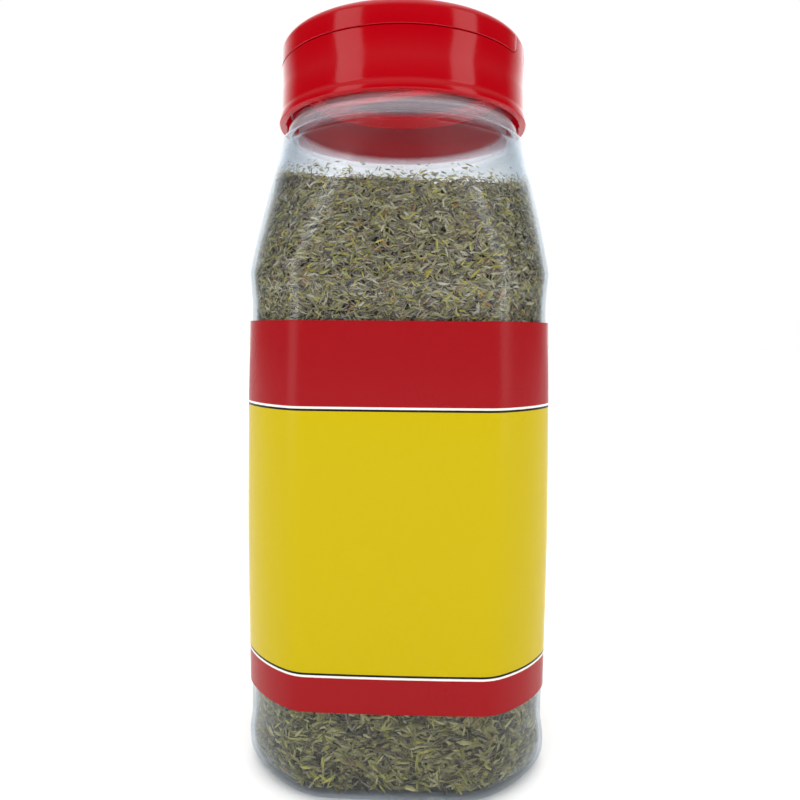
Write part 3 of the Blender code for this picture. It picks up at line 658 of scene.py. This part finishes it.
class THYMEJAR_OT_jar(bpy.types.Operator):
    """Blow the clear jar: push-up, foot, crowned walls, shoulder, bead and threaded neck"""

    bl_idname = "thymejar.jar"
    bl_label = "Clear jar"

    def execute(self, context):
        sizes = context.scene.thymejar_jar
        jar = bent_grid("jar_clear", jar_rows(sizes))
        close_up(jar, 60)
        join_up(jar, [self.thread()], "UNION")
        deselect_all()
        jar.select_set(True)
        bpy.ops.object.shade_smooth_by_angle(angle=math.radians(50))
        finish_piece(jar, clear_plastic(sizes), "jar", "clear_pet", *JAR_NODES)
        return {"FINISHED"}

    def thread(self):
        """The neck's helical thread: a ridge bent from a grid, thin at both ends."""
        count, sides = 96, 8
        rows = []
        for index in range(count + 1):
            share = index / count
            angle = share * THREAD_TURNS * 2 * math.pi
            height = THREAD_FOOT + share * THREAD_TURNS * THREAD_PITCH
            size = 0.0011 * min(1.0, 0.2 + 14 * min(share, 1 - share))
            ring = []
            for side in range(sides):
                around = side * 2 * math.pi / sides
                radius = 0.0333 + size * 0.9 * math.cos(around)
                ring.append(
                    (radius * math.cos(angle), radius * math.sin(angle), height + size * math.sin(around)))
            rows.append(ring)
        for end, at in ((rows[0], 0), (rows[-1], len(rows) + 1)):
            middle = tuple(np.mean(end, axis=0))
            rows.insert(at, [middle] * sides)
        thread = bent_grid("thread", rows)
        close_up(thread, 60)
        return thread


class THYMEJAR_OT_wrap(bpy.types.Operator):
    """Wrap the printed film round the wall, one end lapped over the other at the back"""

    bl_idname = "thymejar.wrap"
    bl_label = "Printed wrap"

    def execute(self, context):
        sizes = context.scene.thymejar_wrap
        columns = 220
        heights = np.concatenate([
            [sizes.bottom, sizes.bottom + 0.0002], np.linspace(sizes.bottom + 0.002, sizes.top - 0.002, 30),
            [sizes.top - 0.0002, sizes.top],
        ])
        rows = []
        for height in heights:
            half, corner, crown = jar_section(height)
            half, corner = half + sizes.clearance, corner + sizes.clearance
            plan = rounded_square(half, corner, crown, 4 * columns)
            perimeter = 8 * (half - corner) + 2 * math.pi * corner
            lap = sizes.overlap / perimeter
            shares = 0.5 - lap / 2 + np.linspace(0, 1 + lap, columns + 1)
            loop = np.vstack([plan, plan[:1]])
            places = (shares % 1.0) * len(plan)
            points = np.column_stack([
                np.interp(places, np.arange(len(loop)), loop[:, axis]) for axis in (0, 1)
            ])
            over = np.clip((shares - shares[-1] + 2 * lap) / lap, 0, 1)
            lift = sizes.film * 1.4 * over * over * (3 - 2 * over)
            outward = points / np.linalg.norm(points, axis=1)[:, None]
            points = points + outward * lift[:, None]
            rows.append(np.column_stack([points, np.full(columns + 1, height)]))
        wrap = bent_grid("wrap_printed", rows, wrap=False)
        self.face_out(wrap)
        thicken = wrap.modifiers.new("Film", "SOLIDIFY")
        thicken.thickness = sizes.film
        thicken.offset = 1.0
        bpy.context.view_layer.objects.active = wrap
        bpy.ops.object.modifier_apply(modifier=thicken.name)
        deselect_all()
        wrap.select_set(True)
        bpy.ops.object.shade_smooth_by_angle(angle=math.radians(45))
        finish_piece(wrap, wrap_film(sizes), "jar", "label_film", "label")
        return {"FINISHED"}

    def face_out(self, wrap):
        """Turns the open sheet's faces away from the jar's axis."""
        face = wrap.data.polygons[len(wrap.data.polygons) // 2]
        if face.normal.dot(Vector((face.center.x, face.center.y, 0))) < 0:
            wrap.data.flip_normals()


class Heap:
    """Where the dried leaves lie against the wall and on the heap's top."""

    def __init__(self, sizes):
        self.sizes = sizes
        self.table = {}

    def top(self, x, y):
        """Height of the heap's top: a low mound, higher at the sides than at front and back."""
        side, depth = x / RIM_RADIUS, y / RIM_RADIUS
        mound = FILL_MOUND * (1 - side * side - depth * depth) + FILL_SADDLE * (side * side - depth * depth)
        ripple = 0.0007 * np.sin(170 * x + 40 * y) * np.cos(120 * y - 60 * x)
        return self.sizes.level + FILL_TILT * x + FILL_LEAN * y + mound + ripple

    def plan(self, height, inset):
        """The wall's inside at a height to the nearest half millimetre, as a fine outline."""
        key = (round(height / 0.0005), round(inset / 0.00005))
        if key not in self.table:
            half, corner, crown = jar_section(key[0] * 0.0005)
            inset = key[1] * 0.00005
            self.table[key] = rounded_square(half - inset, corner - inset, crown, 720)
        return self.table[key]

    def at_wall(self, share, height, inset):
        """A point, and the ways round, up and out of the wall there."""
        plan = self.plan(height, inset)
        place = (share % 1.0) * len(plan)
        index = int(place)
        start, end = plan[index], plan[(index + 1) % len(plan)]
        x, y = start + (end - start) * (place - index)
        higher = self.plan(height + 0.002, inset)[index]
        around = np.array([*(end - start), 0.0])
        around /= np.linalg.norm(around)
        up = np.array([*(higher - start), 0.002])
        up /= np.linalg.norm(up)
        return np.array([x, y, height]), around, up, np.cross(around, up)


# A leaf as (along, across, out) shares of its length, width and thickness: two tips and two rings of four
LEAF_POINTS = np.array([
    (-0.50, 0.0, -0.25), (-0.22, -0.46, -0.15), (-0.22, 0.0, 0.50), (-0.22, 0.46, -0.15), (-0.22, 0.0, -0.35),
    (0.18, -0.40, -0.10), (0.18, 0.0, 0.55), (0.18, 0.40, -0.10), (0.18, 0.0, -0.30), (0.50, 0.0, -0.30),
])
LEAF_RIMS = np.array([0.8, 1.0, 0.0, 1.0, 0.4, 1.0, 0.0, 1.0, 0.4, 0.8])
LEAF_FACES = np.array(
    [(0, a, b) for a, b in ((2, 1), (3, 2), (4, 3), (1, 4))]
    + [(a, b, b + 4) for a, b in ((1, 2), (2, 3), (3, 4), (4, 1))]
    + [(a, b + 4, a + 4) for a, b in ((1, 2), (2, 3), (3, 4), (4, 1))]
    + [(9, a, b) for a, b in ((5, 6), (6, 7), (7, 8), (8, 5))]
)


def rolled(across, face, roll):
    """A leaf's two cross directions, rolled about its length."""
    return (
        across * math.cos(roll) + face * math.sin(roll), face * math.cos(roll) - across * math.sin(roll)
    )


class Scatter:
    """Gathers leaves, and stamps them into one mesh."""

    def __init__(self):
        self.points, self.tones, self.shades = [], [], []

    def add(self, centre, along, across, out, size, tone, shade, bend):
        length, width, depth = size
        local = LEAF_POINTS * (length, width, depth)
        local[:, 2] += bend * length * (0.25 - (LEAF_POINTS[:, 0]) ** 2)
        self.points.append(centre + local @ np.array([along, across, out]))
        self.tones.append(tone)
        self.shades.append(shade)

    def stamp(self, name):
        """One mesh of all the leaves, each leaf's tone, its painted shade and its rolled rim kept on its
        points.
        """
        count, each = len(self.points), len(LEAF_POINTS)
        faces = (LEAF_FACES[None] + (np.arange(count) * each)[:, None, None]).reshape(-1, 3)
        mesh = bpy.data.meshes.new(name)
        mesh.from_pydata(np.vstack(self.points).tolist(), [], faces.tolist())
        kept = {
            "leaf_tone": np.repeat(self.tones, each), "leaf_shade": np.repeat(self.shades, each),
            "leaf_rim": np.tile(LEAF_RIMS, count),
        }
        for attribute, values in kept.items():
            made = mesh.attributes.new(attribute, "FLOAT", "POINT")
            made.data.foreach_set("value", values.astype(np.float32))
        mesh.update()
        piece = bpy.data.objects.new(name, mesh)
        bpy.context.scene.collection.objects.link(piece)
        deselect_all()
        bpy.context.view_layer.objects.active = piece
        piece.select_set(True)
        bpy.ops.object.mode_set(mode="EDIT")
        bpy.ops.mesh.select_all(action="SELECT")
        bpy.ops.mesh.normals_make_consistent(inside=False)
        bpy.ops.object.mode_set(mode="OBJECT")
        bpy.ops.object.shade_smooth_by_angle(angle=math.radians(50))
        piece.select_set(False)
        return piece


class THYMEJAR_OT_thyme(bpy.types.Operator):
    """Fill the jar with thousands of dried leaves round a crumb darkened as painted shade"""

    bl_idname = "thymejar.thyme"
    bl_label = "Dried thyme"

    def execute(self, context):
        sizes, wall = context.scene.thymejar_thyme, context.scene.thymejar_jar.wall
        self.draw = random.Random(sizes.seed)
        self.sizes = sizes
        self.heap = Heap(sizes)
        self.wall = wall
        core = self.core()
        finish_piece(core, heap_core(), "jar", "dried_leaf", "thyme")
        wrap = context.scene.thymejar_wrap
        low, high = wrap.top - 0.002, sizes.level - 0.004
        steps = [low + (high - low) * share for share in (0.0, 0.36, 0.70)]
        # Name, count, lowest and highest place, growth, lightness of the leaves' painted shade and its
        # spread, tones
        zones = (
            ("leaves_foot", 8600, 0.0030, wrap.bottom + 0.002, 1.25, 0.68, 0.36, LOWER_TONES),
            ("leaves_behind_wrap", 2400, wrap.bottom, wrap.top, 1.2, 0.70, 0.26, LOWER_TONES),
            ("leaves_above_wrap", 9200, steps[0], steps[1], 1.0, 0.89, 0.26, UPPER_TONES),
            ("leaves_shoulder", 8600, steps[1], steps[2], 1.0, 0.89, 0.26, UPPER_TONES),
            ("leaves_high", 8600, steps[2], None, 1.0, 0.88, 0.26, UPPER_TONES),
        )
        for name, count, low, high, grow, light, spread, tones in zones:
            leaves = Scatter()
            for _ in range(count):
                self.wall_leaf(leaves, low, high, grow, light, spread)
            finish_piece(leaves.stamp(name), leaf_skin(name, tones), "jar", "dried_leaf")
        loose = (("leaves_top", 5200, self.top_leaf), ("leaves_fringe", 1700, self.fringe_leaf))
        for name, count, lay in loose:
            leaves = Scatter()
            for _ in range(count):
                lay(leaves)
            finish_piece(leaves.stamp(name), leaf_skin(name, UPPER_TONES), "jar", "dried_leaf")
        return {"FINISHED"}

    def core(self):
        """The body of the heap, a little inside the leaves."""
        inset = self.wall + 0.0016
        count = 120
        rows = [np.tile((0.0, 0.0, 0.0062), (count, 1))]
        for share, height in ((0.6, 0.0060), (0.93, 0.0056)):
            rows.append(self.ring(0.0056, inset, count) * (share, share, 0) + (0, 0, height))
        for height in np.linspace(0.0066, self.sizes.level - 0.009, 60):
            rows.append(self.ring(height, inset, count))
        edge = self.ring(self.sizes.level - 0.004, inset, count)
        for share in (1.0, 0.96, 0.85, 0.7, 0.5, 0.3, 0.0):
            x, y = edge[:, 0] * share, edge[:, 1] * share
            rows.append(np.column_stack([x, y, self.heap.top(x, y) - 0.0011]))
        core = bent_grid("thyme_crumb_painted_shade", rows)
        close_up(core, 60)
        return core

    def ring(self, height, inset, count):
        half, corner, crown = jar_section(height)
        plan = rounded_square(half - inset, corner - inset, crown, count)
        return np.column_stack([plan, np.full(count, height)])

    def leaf_size(self):
        draw, sizes = self.draw, self.sizes
        length = sizes.shortest + (sizes.longest - sizes.shortest) * draw.betavariate(1.9, 2.4)
        width = length * draw.uniform(0.18, 0.31)
        return length, width, width * draw.uniform(0.42, 0.62)

    def wall_leaf(self, leaves, low, high, grow, light, spread):
        """A leaf lying against the wall, at any turn, some of them tipped into the heap."""
        draw = self.draw
        share = draw.random()
        if high is None:
            x, y = self.heap.at_wall(share, self.sizes.level, self.wall + 0.001)[0][:2]
            high = float(self.heap.top(x, y)) - 0.0004
        height = draw.uniform(low, high)
        length, width, depth = (value * grow for value in self.leaf_size())
        tip = min(abs(draw.gauss(0, 0.20)), 0.7)
        near = 0.00018 + depth * 0.5 + math.sin(tip) * length * 0.5 + length * length / (8 * 0.018)
        inset = self.wall + near + abs(draw.gauss(0, 0.00042))
        centre, around, up, out = self.heap.at_wall(share, height, inset)
        turn = draw.gauss(0, 0.8)
        along = around * math.cos(turn) + up * math.sin(turn)
        across = np.cross(out, along)
        tilt = tip if draw.random() < 0.5 else -tip
        along = along * math.cos(tilt) + out * math.sin(tilt)
        roll = draw.gauss(0, 0.9)
        face = np.cross(along, across)
        across, face = rolled(across, face, roll)
        # Painted shade: how dark this leaf is drawn, for the shadow it lies in
        shade = min(1.0, max(0.10, draw.gauss(light, spread)))
        leaves.add(
            centre, along, across, face, (length, width, depth), draw.random(), shade, draw.gauss(0, 0.16))

    def top_leaf(self, leaves):
        """A leaf lying loosely on the heap."""
        draw = self.draw
        while True:
            x, y = draw.uniform(-0.038, 0.038), draw.uniform(-0.038, 0.038)
            half, corner, _ = jar_section(self.sizes.level)
            room = half - self.wall - 0.0022
            flat = half - corner
            past = math.hypot(max(abs(x) - flat, 0), max(abs(y) - flat, 0))
            if max(abs(x), abs(y)) < room and past < room - flat:
                break
        turn, tilt, roll = draw.uniform(0, 2 * math.pi), draw.gauss(0, 0.3), draw.gauss(0, 0.6)
        along = np.array([math.cos(turn) * math.cos(tilt), math.sin(turn) * math.cos(tilt), math.sin(tilt)])
        across = np.array([-math.sin(turn), math.cos(turn), 0.0])
        face = np.cross(along, across)
        across, face = rolled(across, face, roll)
        centre = np.array([x, y, float(self.heap.top(x, y)) + draw.uniform(-0.0012, 0.0004)])
        # Painted shade: how dark this leaf is drawn, for the shadow it lies in
        shade = min(1.0, max(0.10, draw.gauss(0.88, 0.26)))
        leaves.add(centre, along, across, face, self.leaf_size(), draw.random(), shade, draw.gauss(0, 0.16))

    def fringe_leaf(self, leaves):
        """A leaf or crumb that clings to the bare wall just above the heap."""
        draw = self.draw
        share = draw.random()
        x, y = self.heap.at_wall(share, self.sizes.level, self.wall + 0.001)[0][:2]
        height = float(self.heap.top(x, y)) + min(draw.expovariate(1 / 0.0011), 0.0045)
        shrink = draw.uniform(0.30, 0.62)
        length, width, depth = (value * shrink for value in self.leaf_size())
        inset = self.wall + 0.00012 + depth * 0.5 + length * length / (8 * 0.018)
        centre, around, up, out = self.heap.at_wall(share, height, inset)
        turn = draw.gauss(0, 0.7)
        along = around * math.cos(turn) + up * math.sin(turn)
        # Painted shade of 0.95: a fringe leaf is drawn nearly unshaded
        leaves.add(
            centre, along, np.cross(out, along), out, (length, width, depth), draw.random(), 0.95,
            draw.gauss(0, 0.08),
        )


def lid_profile(radius, low, hollow):
    """Profile of the cap's top: a plate with a rounded edge on a rim wall down to low, or solid."""
    edge = [
        (radius - CAP_EDGE + CAP_EDGE * math.cos(angle), CAP_TOP - CAP_EDGE + CAP_EDGE * math.sin(angle))
        for angle in np.radians(np.linspace(0, 90, 10))
    ]
    outer = [(radius - 0.00015, low), (radius, low + 0.00015)] + edge + [(0.0, CAP_TOP)]
    if not hollow:
        return outer + [(0.0, low)]
    under, bore = CAP_TOP - LID_WALL, radius - LID_WALL
    fillet = [
        (bore - 0.0012 + 0.0012 * math.sin(angle), under - 0.0012 + 0.0012 * math.cos(angle))
        for angle in np.radians(np.linspace(0, 90, 5))
    ]
    return outer + [(0.0, under)] + fillet + [(bore, low)]


def bridge_section(grow):
    """Points of the bridge's section: straight sides that curve outwards at the foot."""
    half, foot = BRIDGE_HALF + grow, PARTING + grow
    side = [
        (half + BRIDGE_FILLET * (1 - math.sin(angle)), foot + BRIDGE_FILLET * (1 - math.cos(angle)))
        for angle in np.radians(np.linspace(0, 90, 9))
    ]
    low, high = DECK_UNDER + 0.0004, CAP_TOP + 0.002
    right = [(side[0][0], low)] + side + [(half, high)]
    return right + [(-y, z) for y, z in reversed(right)]


class THYMEJAR_OT_cap(bpy.types.Operator):
    """Mould the cap's skirt, deck, shaker holes, pouring opening and fixed bridge"""

    bl_idname = "thymejar.cap"
    bl_label = "Screw cap"

    def execute(self, context):
        sizes = context.scene.thymejar_cap
        radius = sizes.radius
        profile = [
            (0.0, DECK_TOP), (DECK_RIM - 0.0004, DECK_TOP), (DECK_RIM, DECK_TOP + 0.0002),
            (DECK_RIM + 0.0006, PARTING), (radius - 0.0003, PARTING), (radius, PARTING - 0.0003),
            (radius, CAP_STEP + 0.0008), (radius + 0.00016, CAP_STEP + 0.0002),
            (radius + 0.00016, CAP_BOTTOM + 0.0032), (radius + 0.0003, CAP_BOTTOM + 0.0022),
            (radius + 0.0006, CAP_BOTTOM + 0.0014), (radius + 0.0006, CAP_BOTTOM + 0.0003),
            (radius + 0.0003, CAP_BOTTOM), (CAP_BORE + 0.0003, CAP_BOTTOM), (CAP_BORE, CAP_BOTTOM + 0.0003),
            (CAP_BORE, DECK_UNDER), (SEAL_OUTER, DECK_UNDER), (SEAL_OUTER, DECK_UNDER - SEAL_DEPTH),
            (SEAL_INNER, DECK_UNDER - SEAL_DEPTH), (SEAL_INNER, DECK_UNDER), (0.0, DECK_UNDER),
        ]
        cap = turned("cap_body", profile, sizes.steps)
        bridge = prism("bridge", bridge_section(0.0), -0.04, 0.04, BRIDGE_TURN)
        solid = turned("top", lid_profile(radius, DECK_UNDER + 0.0004, False), sizes.steps)
        join_up(bridge, [solid], "INTERSECT")
        join_up(cap, [bridge], "UNION")
        cuts = [block(
            "hollow",
            (-SEAL_INNER + 0.001, -BRIDGE_HALF + BRIDGE_WALL, DECK_UNDER - 0.001),
            (SEAL_INNER - 0.001, BRIDGE_HALF - BRIDGE_WALL, CAP_TOP - BRIDGE_WALL),
            BRIDGE_TURN,
        )]
        turn = Matrix.Rotation(BRIDGE_TURN, 2)
        for row, count in SHAKER_ROWS:
            for index in range(count):
                centre = turn @ Vector(((index - (count - 1) / 2) * SHAKER_SPACING, -row))
                cuts.append(drum("hole", SHAKER_RADIUS, DECK_UNDER - 0.001, DECK_TOP + 0.001, centre))
        cuts.append(self.pouring_cutter())
        join_up(cap, cuts, "DIFFERENCE")
        soften(cap, 0.00018)
        finish_piece(cap, cap_plastic(sizes), "cap", "red_cap", "cap")
        return {"FINISHED"}

    def pouring_cutter(self):
        """The D-shaped opening beyond the bridge."""
        reach = math.acos(POUR_NEAR / POUR_FAR)
        angles = math.pi / 2 + reach * np.linspace(-1, 1, 41)
        deselect_all()
        bpy.ops.mesh.primitive_circle_add(vertices=len(angles), radius=0.01, fill_type="NGON")
        cutter = start_piece("pouring cutter")
        low = DECK_UNDER - 0.001
        set_points(cutter, [(POUR_FAR * math.cos(a), POUR_FAR * math.sin(a), low) for a in angles])
        bpy.ops.object.mode_set(mode="EDIT")
        bpy.ops.mesh.select_all(action="SELECT")
        rise = DECK_TOP - DECK_UNDER + 0.002
        bpy.ops.mesh.extrude_region_move(TRANSFORM_OT_translate={"value": (0, 0, rise)})
        bpy.ops.object.mode_set(mode="OBJECT")
        cutter.data.transform(Matrix.Rotation(BRIDGE_TURN, 4, "Z"))
        close_up(cutter)
        return cutter


class THYMEJAR_OT_flaps(bpy.types.Operator):
    """Mould the two hinged flaps beside the bridge"""

    bl_idname = "thymejar.flaps"
    bl_label = "Flaps"

    def execute(self, context):
        sizes = context.scene.thymejar_cap
        for name, side in (("flap_sift", -1), ("flap_pour", 1)):
            flap = turned(name + "_lid", lid_profile(sizes.radius, PARTING + sizes.gap, True), sizes.steps)
            space = prism("bridge space", bridge_section(sizes.gap), -0.05, 0.05, BRIDGE_TURN)
            join_up(flap, [space], "DIFFERENCE")
            low, high = sorted((0.0, side * 0.05))
            half = block("half", (-0.05, low, DECK_UNDER), (0.05, high, CAP_TOP + 0.01), BRIDGE_TURN)
            join_up(flap, [half], "INTERSECT")
            soften(flap, 0.00022)
            finish_piece(flap, cap_plastic(sizes), name, "red_cap", name)
        return {"FINISHED"}


def area_light(name, place, target, size, power):
    """A soft rectangular light that faces the target."""
    lamp = bpy.data.lights.new(name, "AREA")
    lamp.shape = "RECTANGLE"
    lamp.size, lamp.size_y = size
    lamp.energy = power
    light = bpy.data.objects.new(name, lamp)
    bpy.context.scene.collection.objects.link(light)
    light.location = place
    light.rotation_euler = (Vector(target) - Vector(place)).to_track_quat("-Z", "Y").to_euler()
    return light


class THYMEJAR_OT_studio(bpy.types.Operator):
    """Set the pale floor, the soft lights and the camera"""

    bl_idname = "thymejar.studio"
    bl_label = "Studio"

    def execute(self, context):
        self.floor()
        self.world(context.scene)
        self.lights()
        self.camera(context)
        context.scene.view_settings.view_transform = "Standard"
        return {"FINISHED"}

    def floor(self):
        deselect_all()
        bpy.ops.mesh.primitive_circle_add(vertices=96, radius=6.0, fill_type="NGON", location=(0, 0, 0))
        floor = start_piece("floor")
        bpy.ops.object.transform_apply(location=True, rotation=True, scale=True)
        floor.data.transform(Matrix.Translation((0, 0, -0.00005)))
        floor.data.materials.append(floor_paper())

    def world(self, scene):
        """A white room, bright behind and above, dim in front so that the colours stay deep."""
        world = bpy.data.worlds.new("studio")
        scene.world = world
        world.use_nodes = True
        tree = world.node_tree
        background = tree.nodes["Background"]
        place = tree.nodes.new("ShaderNodeTexCoord")
        split = tree.nodes.new("ShaderNodeSeparateXYZ")
        tree.links.new(place.outputs["Generated"], split.inputs[0])
        above = tree.nodes.new("ShaderNodeMapRange")
        above.interpolation_type = "SMOOTHSTEP"
        for key, value in (("From Min", 0.42), ("From Max", 0.92), ("To Min", 0.06), ("To Max", 1.65)):
            above.inputs[key].default_value = value
        tree.links.new(split.outputs["Z"], above.inputs["Value"])
        behind = tree.nodes.new("ShaderNodeMapRange")
        behind.interpolation_type = "SMOOTHSTEP"
        for key, value in (("From Min", 0.35), ("From Max", 0.9), ("To Min", 0.0), ("To Max", 2.0)):
            behind.inputs[key].default_value = value
        tree.links.new(split.outputs["Y"], behind.inputs["Value"])
        total = tree.nodes.new("ShaderNodeMath")
        total.operation = "ADD"
        tree.links.new(above.outputs[0], total.inputs[0])
        tree.links.new(behind.outputs[0], total.inputs[1])
        seen = tree.nodes.new("ShaderNodeLightPath")
        pick = tree.nodes.new("ShaderNodeMix")
        tree.links.new(seen.outputs["Is Camera Ray"], pick.inputs["Factor"])
        tree.links.new(total.outputs[0], pick.inputs["A"])
        pick.inputs["B"].default_value = 1.0
        tree.links.new(pick.outputs[0], background.inputs["Strength"])
        background.inputs["Color"].default_value = (1.0, 1.0, 1.0, 1.0)

    def lights(self):
        """Two tall strips in front, a broad panel overhead, and a faint glow up into the cap, for the light
        that the thick clear neck carries there."""
        for name, azimuth, width, power in (("strip left", -50, 0.34, 2.9), ("strip right", 56, 0.30, 2.6)):
            angle = math.radians(azimuth + 2.0)
            place = (0.8 * math.sin(angle), -0.8 * math.cos(angle), 0.28)
            area_light(name, place, (0, 0, 0.12), (width, 0.9), power)
        area_light("overhead", (0.0, -0.2, 1.3), (0, 0, 0.1), (1.2, 1.2), 4.0)
        under_cap = area_light("under cap", (0, 0, 0.164), (0, 0, 0.2), (0.046, 0.046), 0.026)
        under_cap.visible_glossy = under_cap.visible_camera = False

    def camera(self, context):
        sizes = context.scene.thymejar_studio
        camera = bpy.data.objects.new("camera", bpy.data.cameras.new("camera"))
        context.scene.collection.objects.link(camera)
        side = sizes.azimuth
        place = Matrix.Translation(
            (sizes.distance * math.sin(side), -sizes.distance * math.cos(side), sizes.height))
        look = (
            Matrix.Rotation(side, 4, "Z") @ Matrix.Rotation(math.pi / 2 - sizes.pitch, 4, "X")
            @ Matrix.Rotation(sizes.roll, 4, "Z")
        )
        camera.matrix_world = place @ look
        camera.data.sensor_width = 36.0
        camera.data.lens = sizes.lens
        camera.data.shift_x = sizes.shift_x
        camera.data.shift_y = sizes.shift_y
        camera.data.clip_start = 0.005
        context.scene.camera = camera


GROUPS = (
    ("thymejar_jar", JarSizes), ("thymejar_wrap", WrapSizes), ("thymejar_thyme", ThymeSizes),
    ("thymejar_cap", CapSizes), ("thymejar_studio", StudioSizes),
)
OPERATORS = (
    THYMEJAR_OT_studio, THYMEJAR_OT_jar, THYMEJAR_OT_wrap, THYMEJAR_OT_thyme, THYMEJAR_OT_cap,
    THYMEJAR_OT_flaps,
)


class THYMEJAR_PT_panel(bpy.types.Panel):
    """Lists the jar's sizes and the operators that make its pieces"""

    bl_idname = "THYMEJAR_PT_panel"
    bl_label = "Jar of dried thyme"
    bl_space_type = "VIEW_3D"
    bl_region_type = "UI"
    bl_category = "Thyme jar"

    def draw(self, context):
        for operator in OPERATORS:
            self.layout.operator(operator.bl_idname)
        for attribute, group in GROUPS:
            box = self.layout.box()
            box.label(text=group.__doc__)
            for name in group.__annotations__:
                box.prop(getattr(context.scene, attribute), name)


def register():
    for attribute, group in GROUPS:
        bpy.utils.register_class(group)
        setattr(bpy.types.Scene, attribute, bpy.props.PointerProperty(type=group))
    for operator in OPERATORS:
        bpy.utils.register_class(operator)
    bpy.utils.register_class(THYMEJAR_PT_panel)


def unregister():
    bpy.utils.unregister_class(THYMEJAR_PT_panel)
    for operator in reversed(OPERATORS):
        bpy.utils.unregister_class(operator)
    for attribute, group in reversed(GROUPS):
        delattr(bpy.types.Scene, attribute)
        bpy.utils.unregister_class(group)


def main():
    register()
    bpy.ops.thymejar.studio()
    bpy.ops.thymejar.jar()
    bpy.ops.thymejar.wrap()
    bpy.ops.thymejar.thyme()
    bpy.ops.thymejar.cap()
    bpy.ops.thymejar.flaps()
    bpy.context.view_layer.update()


if __name__ == "__main__":
    main()
